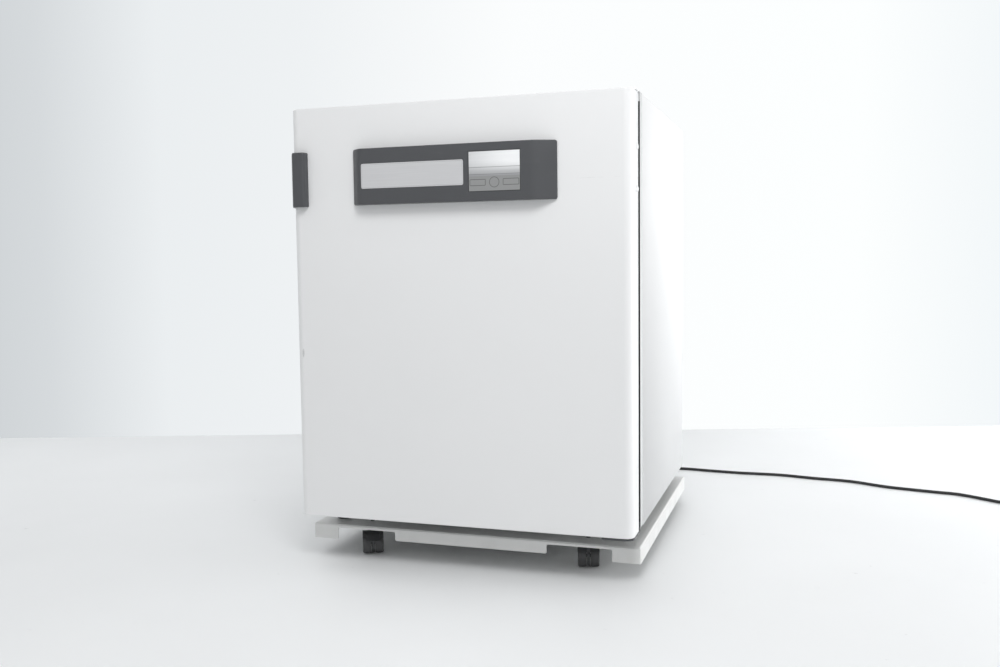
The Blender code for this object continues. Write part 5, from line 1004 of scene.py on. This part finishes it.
# %% [markdown]
# Several closed shells often make one piece, such as a row of screws.

# %% Joined shells
def joined(name, *pieces):
    """One mesh from several, which are removed."""
    mesh = bpy.data.meshes.new(name)
    with edited(mesh) as bm:
        for piece in pieces:
            bm.from_mesh(piece.data)
            bpy.data.objects.remove(piece, do_unlink=True)
    return added(name, mesh)


def pan_heads(name, places, axis, radius=0.0034, rise=0.0019):
    """Screws: a low dome with a round recess, at each place along an axis."""
    dome = pair(radius * np.cos(arc(7)) ** 0.6, 0.0004 + (rise - 0.0004) * np.sin(arc(7)))[:-1]
    profile = np.vstack([(0, -0.0002), (radius, -0.0002), dome, (radius * 0.42, rise),
                         (radius * 0.36, rise - 0.0008), (0, rise - 0.0009)])
    return joined(name, *(revolved(f"{name}_{i}", profile, place, axis, 20) for i, place in enumerate(places)))


# %% [markdown]
# The upper hinge plate stands back from the front, so that only its corner shows.

# %% Upper hinge plate
TOP_LOW, TOP_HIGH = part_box("hinge_bracket_top")
PLATE_T, PLATE_BACK, FLANGE_T, FLANGE_H = 0.0034, 0.030, 0.003, 0.022
plate_outline = filleted([
    (TOP_LOW.x, TOP_LOW.y + PLATE_BACK, 0.005), (TOP_HIGH.x, TOP_LOW.y + PLATE_BACK, 0.013),
    (TOP_HIGH.x, TOP_HIGH.y, 0), (TOP_LOW.x, TOP_HIGH.y, 0),
])
flange_y = TOP_HIGH.y - FLANGE_T
flange_outline = np.array([
    (TOP_LOW.x, flange_y), (TOP_HIGH.x, flange_y), (TOP_HIGH.x, TOP_HIGH.y), (TOP_LOW.x, TOP_HIGH.y),
])
hinge_plate = joined(
    "hinge_plate_top", prism("plate", plate_outline, TOP_HIGH.z - PLATE_T, TOP_HIGH.z),
    prism("flange", flange_outline, TOP_HIGH.z - FLANGE_H, TOP_HIGH.z))
dress(broken_edges(hinge_plate, 0.0005), white_enamel, "root", "hinge_bracket_top", slot="galvanised")
print("hinge plate", [round(v, 3) for v in hinge_plate.dimensions])

# %% [markdown]
# Two domed plugs close the holes for hanging the door on its other side.

# %% Blanking plugs
PLUG_RADIUS, PLUG_RISE, PLUG_RIM, PLUG_GAP = 0.008, 0.003, 0.0009, 0.0002
PLUG_PLACES = ((-0.370, 0.926), (-0.370, 0.839))
dome = pair(0.9 * PLUG_RADIUS * np.cos(arc(9)), PLUG_RIM + (PLUG_RISE - PLUG_RIM) * np.sin(arc(9)))
plug_profile = np.vstack([(0, 0), (PLUG_RADIUS, 0), (PLUG_RADIUS, 0.0005), (0.95 * PLUG_RADIUS, PLUG_RIM), dome])
blanks = joined("blanking_plugs", *(
    revolved(f"blank_{i}", plug_profile, (DOOR_HIGH.x + PLUG_GAP, y, z), (1, 0, 0), 32)
    for i, (y, z) in enumerate(PLUG_PLACES)))
dress(blanks, white_enamel, "outer_door")
print("plugs", len(PLUG_PLACES))

# %% [markdown]
# A caster has two wheels with a dark web between them. A wheel is a closed profile turned round its axle:
# crowned tread, round outer shoulder, dished face.

# %% Caster wheels
CASTER_TURNS = {"front_left": -154, "front_right": 13, "back_left": 35, "back_right": -60}
WHEEL_R, WHEEL_HALF, WHEEL_BORE = 0.025, 0.010, 0.0045
WEB_R, WEB_HALF, WEB_EDGE = 0.0235, 0.0037, 0.0008


def wheel_profile():
    """(radius, distance outwards) from the inner face over the tread to the hub, as a closed loop."""
    turn = arc(6)
    inner = pair(WHEEL_R - 0.0012 - 0.0010 * (1 - np.sin(turn)), -WHEEL_HALF + 0.0010 * (1 - np.cos(turn)))
    t = np.linspace(-0.0085, 0.0050, 6)
    crown = pair(WHEEL_R - 0.0012 * (t / 0.0088) ** 2, t)
    outer = pair(WHEEL_R - 0.0044 + 0.0040 * np.cos(turn), WHEEL_HALF - 0.0045 + 0.0043 * np.sin(turn))
    face = [(0.0192, 0.0096), (0.0180, 0.0074), (0.0110, 0.0066), (0.0094, 0.0092), (0.0080, 0.0097),
            (WHEEL_BORE, 0.0097)]
    return np.vstack([(WHEEL_BORE, -WHEEL_HALF), (0.0200, -WHEEL_HALF), inner, crown, outer, face])


web_half = np.array([(WHEEL_BORE, WEB_HALF), (WEB_R - WEB_EDGE, WEB_HALF), (WEB_R, WEB_HALF - WEB_EDGE)])
web = np.vstack([web_half * (1, -1), web_half[::-1]])
for name, turn in CASTER_TURNS.items():
    axle = np.array([*heading(math.radians(turn)), 0])
    centres = {}
    for hand, side in (("left", -1), ("right", 1)):
        node = f"caster_wheel_{name}_{hand}"
        low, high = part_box(node)
        centres[hand] = np.array((low + high) / 2)
        wheel = revolved(f"wheel_{name}_{hand}", wheel_profile(), centres[hand], axle * side, 56, looped=True)
        dress(wheel, tread, f"wheel_{name}_{hand}", node)
    middle = (centres["left"] + centres["right"]) / 2
    dress(revolved(f"caster_web_{name}", web, middle, axle, looped=True), caster_grey, f"caster_{name}")
print("wheels", 2 * len(CASTER_TURNS))

# %% [markdown]
# The outer door's seal is a bellows whose width follows a cosine of the depth, between a flat foot and a flat
# lip. The chamber's is a round cord.

# %% Seals
GASKET_LOW, GASKET_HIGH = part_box("door_gasket")
GASKET_HALF, GASKET_CORNER = 0.010, 0.024
CORD_LOW, CORD_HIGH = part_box("chamber_gasket")
CORD_R, MOUTH_R, MOUTH_HALF = (CORD_HIGH.y - CORD_LOW.y) / 2, 0.042, 0.3035


def bellows():
    share = np.linspace(0, 1, 33)
    wave = 0.64 + 0.25 * np.cos(4 * np.pi * np.clip((share - 0.14) / 0.72, 0, 1))
    flat = np.clip(np.maximum(0.16 - share, share - 0.84) / 0.02, 0, 1)
    half = GASKET_HALF * (wave * (1 - flat) + 0.97 * flat)
    outs = np.concatenate([half, -half[::-1]]) - GASKET_HALF
    depths = GASKET_LOW.y + (GASKET_HIGH.y - GASKET_LOW.y) * np.concatenate([share, share[::-1]])
    return nested("door_seal", GASKET_LOW, GASKET_HIGH, GASKET_CORNER, zip(outs, depths), 12, looped=True)


corner, middle = MOUTH_R + CORD_HIGH.x - MOUTH_HALF, (CORD_LOW.y + CORD_HIGH.y) / 2
round_cord = CORD_R * (heading(around(20)) - (1, 0)) + (0, middle)
dress(bellows(), seal_grey, "outer_door", "door_gasket")
mouth_seal = nested("mouth_seal", CORD_LOW, CORD_HIGH, corner, round_cord, 16, looped=True)
dress(mouth_seal, silicone, "root", "chamber_gasket")
print("mouth seal", round(2000 * CORD_R, 1), "mm thick")

# %% [markdown]
# The chamber is one deep-drawn sheet. Its rows run over the inside from the back to the flange and return
# along the outside. Two holes open its back for the fan's shaft and the access port.

# %% Chamber
MOUTH_LOW, MOUTH_HIGH = Vector((-MOUTH_HALF, 0, 0.245)), Vector((MOUTH_HALF, 0, 0.912))
CHAMBER_FRONT, CHAMBER_BACK, BACK_R, LIP_R, FLANGE_OUT = -0.3348, 0.2652, 0.030, 0.004, 0.011
SHAFT_HOLE, PORT_HOLE, PORT_AT, FAN_AT_Z = 0.0044, 0.0243, (-0.200, 0.640), 0.790


def chamber_shell():
    straight, outer_r = CHAMBER_BACK - BACK_R, BACK_R + SHEET
    places = [(-BACK_R * s, CHAMBER_BACK - BACK_R * c) for s, c in turns(8)]
    places += [(0, straight - SUPPORT), (0, CHAMBER_FRONT + LIP_R + SUPPORT)]
    places += [(LIP_R * c, CHAMBER_FRONT + LIP_R * s) for s, c in turns(8)[:-1]]
    places += [(LIP_R, CHAMBER_FRONT), (FLANGE_OUT, CHAMBER_FRONT)]
    places += [(FLANGE_OUT, CHAMBER_FRONT + SHEET), (SHEET + 0.0002, CHAMBER_FRONT + SHEET), (SHEET, straight)]
    places += [(SHEET - outer_r * c, straight + outer_r * (1 - s)) for s, c in turns(8)[1:]]
    return nested("chamber_shell", MOUTH_LOW, MOUTH_HIGH, MOUTH_R, places, 14)


def back_cutter(name, x, z, radius):
    centre = (x, CHAMBER_BACK, z)
    return revolved(name, [(radius, -0.01), (radius, 0.02)], centre, (0, 1, 0), 40, caps=(True, True))


chamber = carve(
    chamber_shell(), back_cutter("shaft", 0, FAN_AT_Z, SHAFT_HOLE), back_cutter("port", *PORT_AT, PORT_HOLE))
dress(chamber, steel_deep, "root", "chamber_liner")
print("chamber faces", len(chamber.data.polygons))

# %% [markdown]
# The glass door is a pane with ground edges and a turned knob on its strike plate.

# %% Glass door
KNOB_LOW, KNOB_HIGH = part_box("glass_knob")
KNOB_MID = (KNOB_LOW + KNOB_HIGH) / 2
STRIKE_T, KNOB_R = 0.0016, 0.011
knob_length = KNOB_HIGH.y - KNOB_LOW.y - STRIKE_T
t = np.linspace(0, 1, 15)
neck = pair(KNOB_R * (0.64 - 0.16 * np.sin(np.pi * t ** 0.8) + 0.30 * t ** 3), t * knob_length * 0.72)
cap = pair(KNOB_R - 0.0018 * (1 - np.cos(arc(9))), knob_length * (0.86 + 0.14 * np.sin(arc(9))))
knob_profile = np.vstack([(0, -0.0004), (KNOB_R * 0.64, -0.0004), neck, cap, (KNOB_R * 0.70, knob_length),
                          (KNOB_R * 0.62, knob_length - 0.0006), (0, knob_length - 0.0006)])
knob = joined(
    "pull_knob", nested("strike", KNOB_LOW, KNOB_HIGH, 0.004, [(0, KNOB_HIGH.y - STRIKE_T), (0, KNOB_HIGH.y)]),
    revolved("turned_knob", knob_profile, (KNOB_MID.x, KNOB_HIGH.y - STRIKE_T, KNOB_MID.z), (0, -1, 0), 40),
)
dress(broken_edges(knob, 0.0003, 2), polished_steel, "glass_door", "glass_knob")
refined("glass_pane", clear_glass, 0.0006)
print("knob", round(knob_length * 1000, 1), "mm long")

# %% [markdown]
# Pressed hoods turn dust away from the rear cover's slots, each a quarter of a tube. Screws hold the rear
# cover and the supply panel.

# %% Hoods and screws
REAR_LOW, REAR_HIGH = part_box("rear_cover")
SUPPLY_LOW, SUPPLY_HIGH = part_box("supply_panel")
VENT_Z, VENT_PITCH, VENT_COUNT, VENT_HALF = 0.800, 0.016, 9, 0.150
HOOD_REACH, HOOD_T, HOOD_TALL, SUNK = 0.0042, 0.0008, 1.4, 0.0002
HOOD_SIZES = ((-1.0, 0.12), (-0.97, 0.72), (-0.94, 1), (0.94, 1), (0.97, 0.72), (1.0, 0.12))
COVER_X, COVER_Z = (-0.374, 0.374), (0.150, 0.360, 0.575, 0.790, 1.000)
COVER_END_X, COVER_END_Z, PANEL_IN = (-0.20, 0.20), (0.139, 1.016), 0.008


def hood(number):
    """A quarter tube: the outer arc and the inner one, drawn in towards both ends of the slot."""
    z = VENT_Z + VENT_PITCH * (number - (VENT_COUNT - 1) / 2)
    bow = pair(np.sin(arc(6)), HOOD_TALL * np.cos(arc(6)))
    section = np.vstack([HOOD_REACH * bow, ((HOOD_REACH - HOOD_T) * bow - (0, SUNK))[::-1]])
    rows = [np.column_stack([np.full(len(section), share * VENT_HALF), section * size + (REAR_HIGH.y - SUNK, z)])
            for share, size in HOOD_SIZES]
    return surface(f"hood_{number}", rows, caps=(True, True))


dress(joined("vent_hoods", *(hood(i) for i in range(VENT_COUNT))), white_enamel, "root")
flange_y = REAR_LOW.y + SHEET
places = [(x, flange_y, z) for x in COVER_X for z in COVER_Z]
places += [(x, flange_y, z) for x in COVER_END_X for z in COVER_END_Z]
places += [(x, SUPPLY_HIGH.y, z) for x in (SUPPLY_LOW.x + PANEL_IN, SUPPLY_HIGH.x - PANEL_IN)
           for z in (SUPPLY_LOW.z + PANEL_IN, SUPPLY_HIGH.z - PANEL_IN)]
dress(pan_heads("rear_screws", places, (0, 1, 0)), zinc_plate, "root")
print("hoods", VENT_COUNT, "screws", len(places))
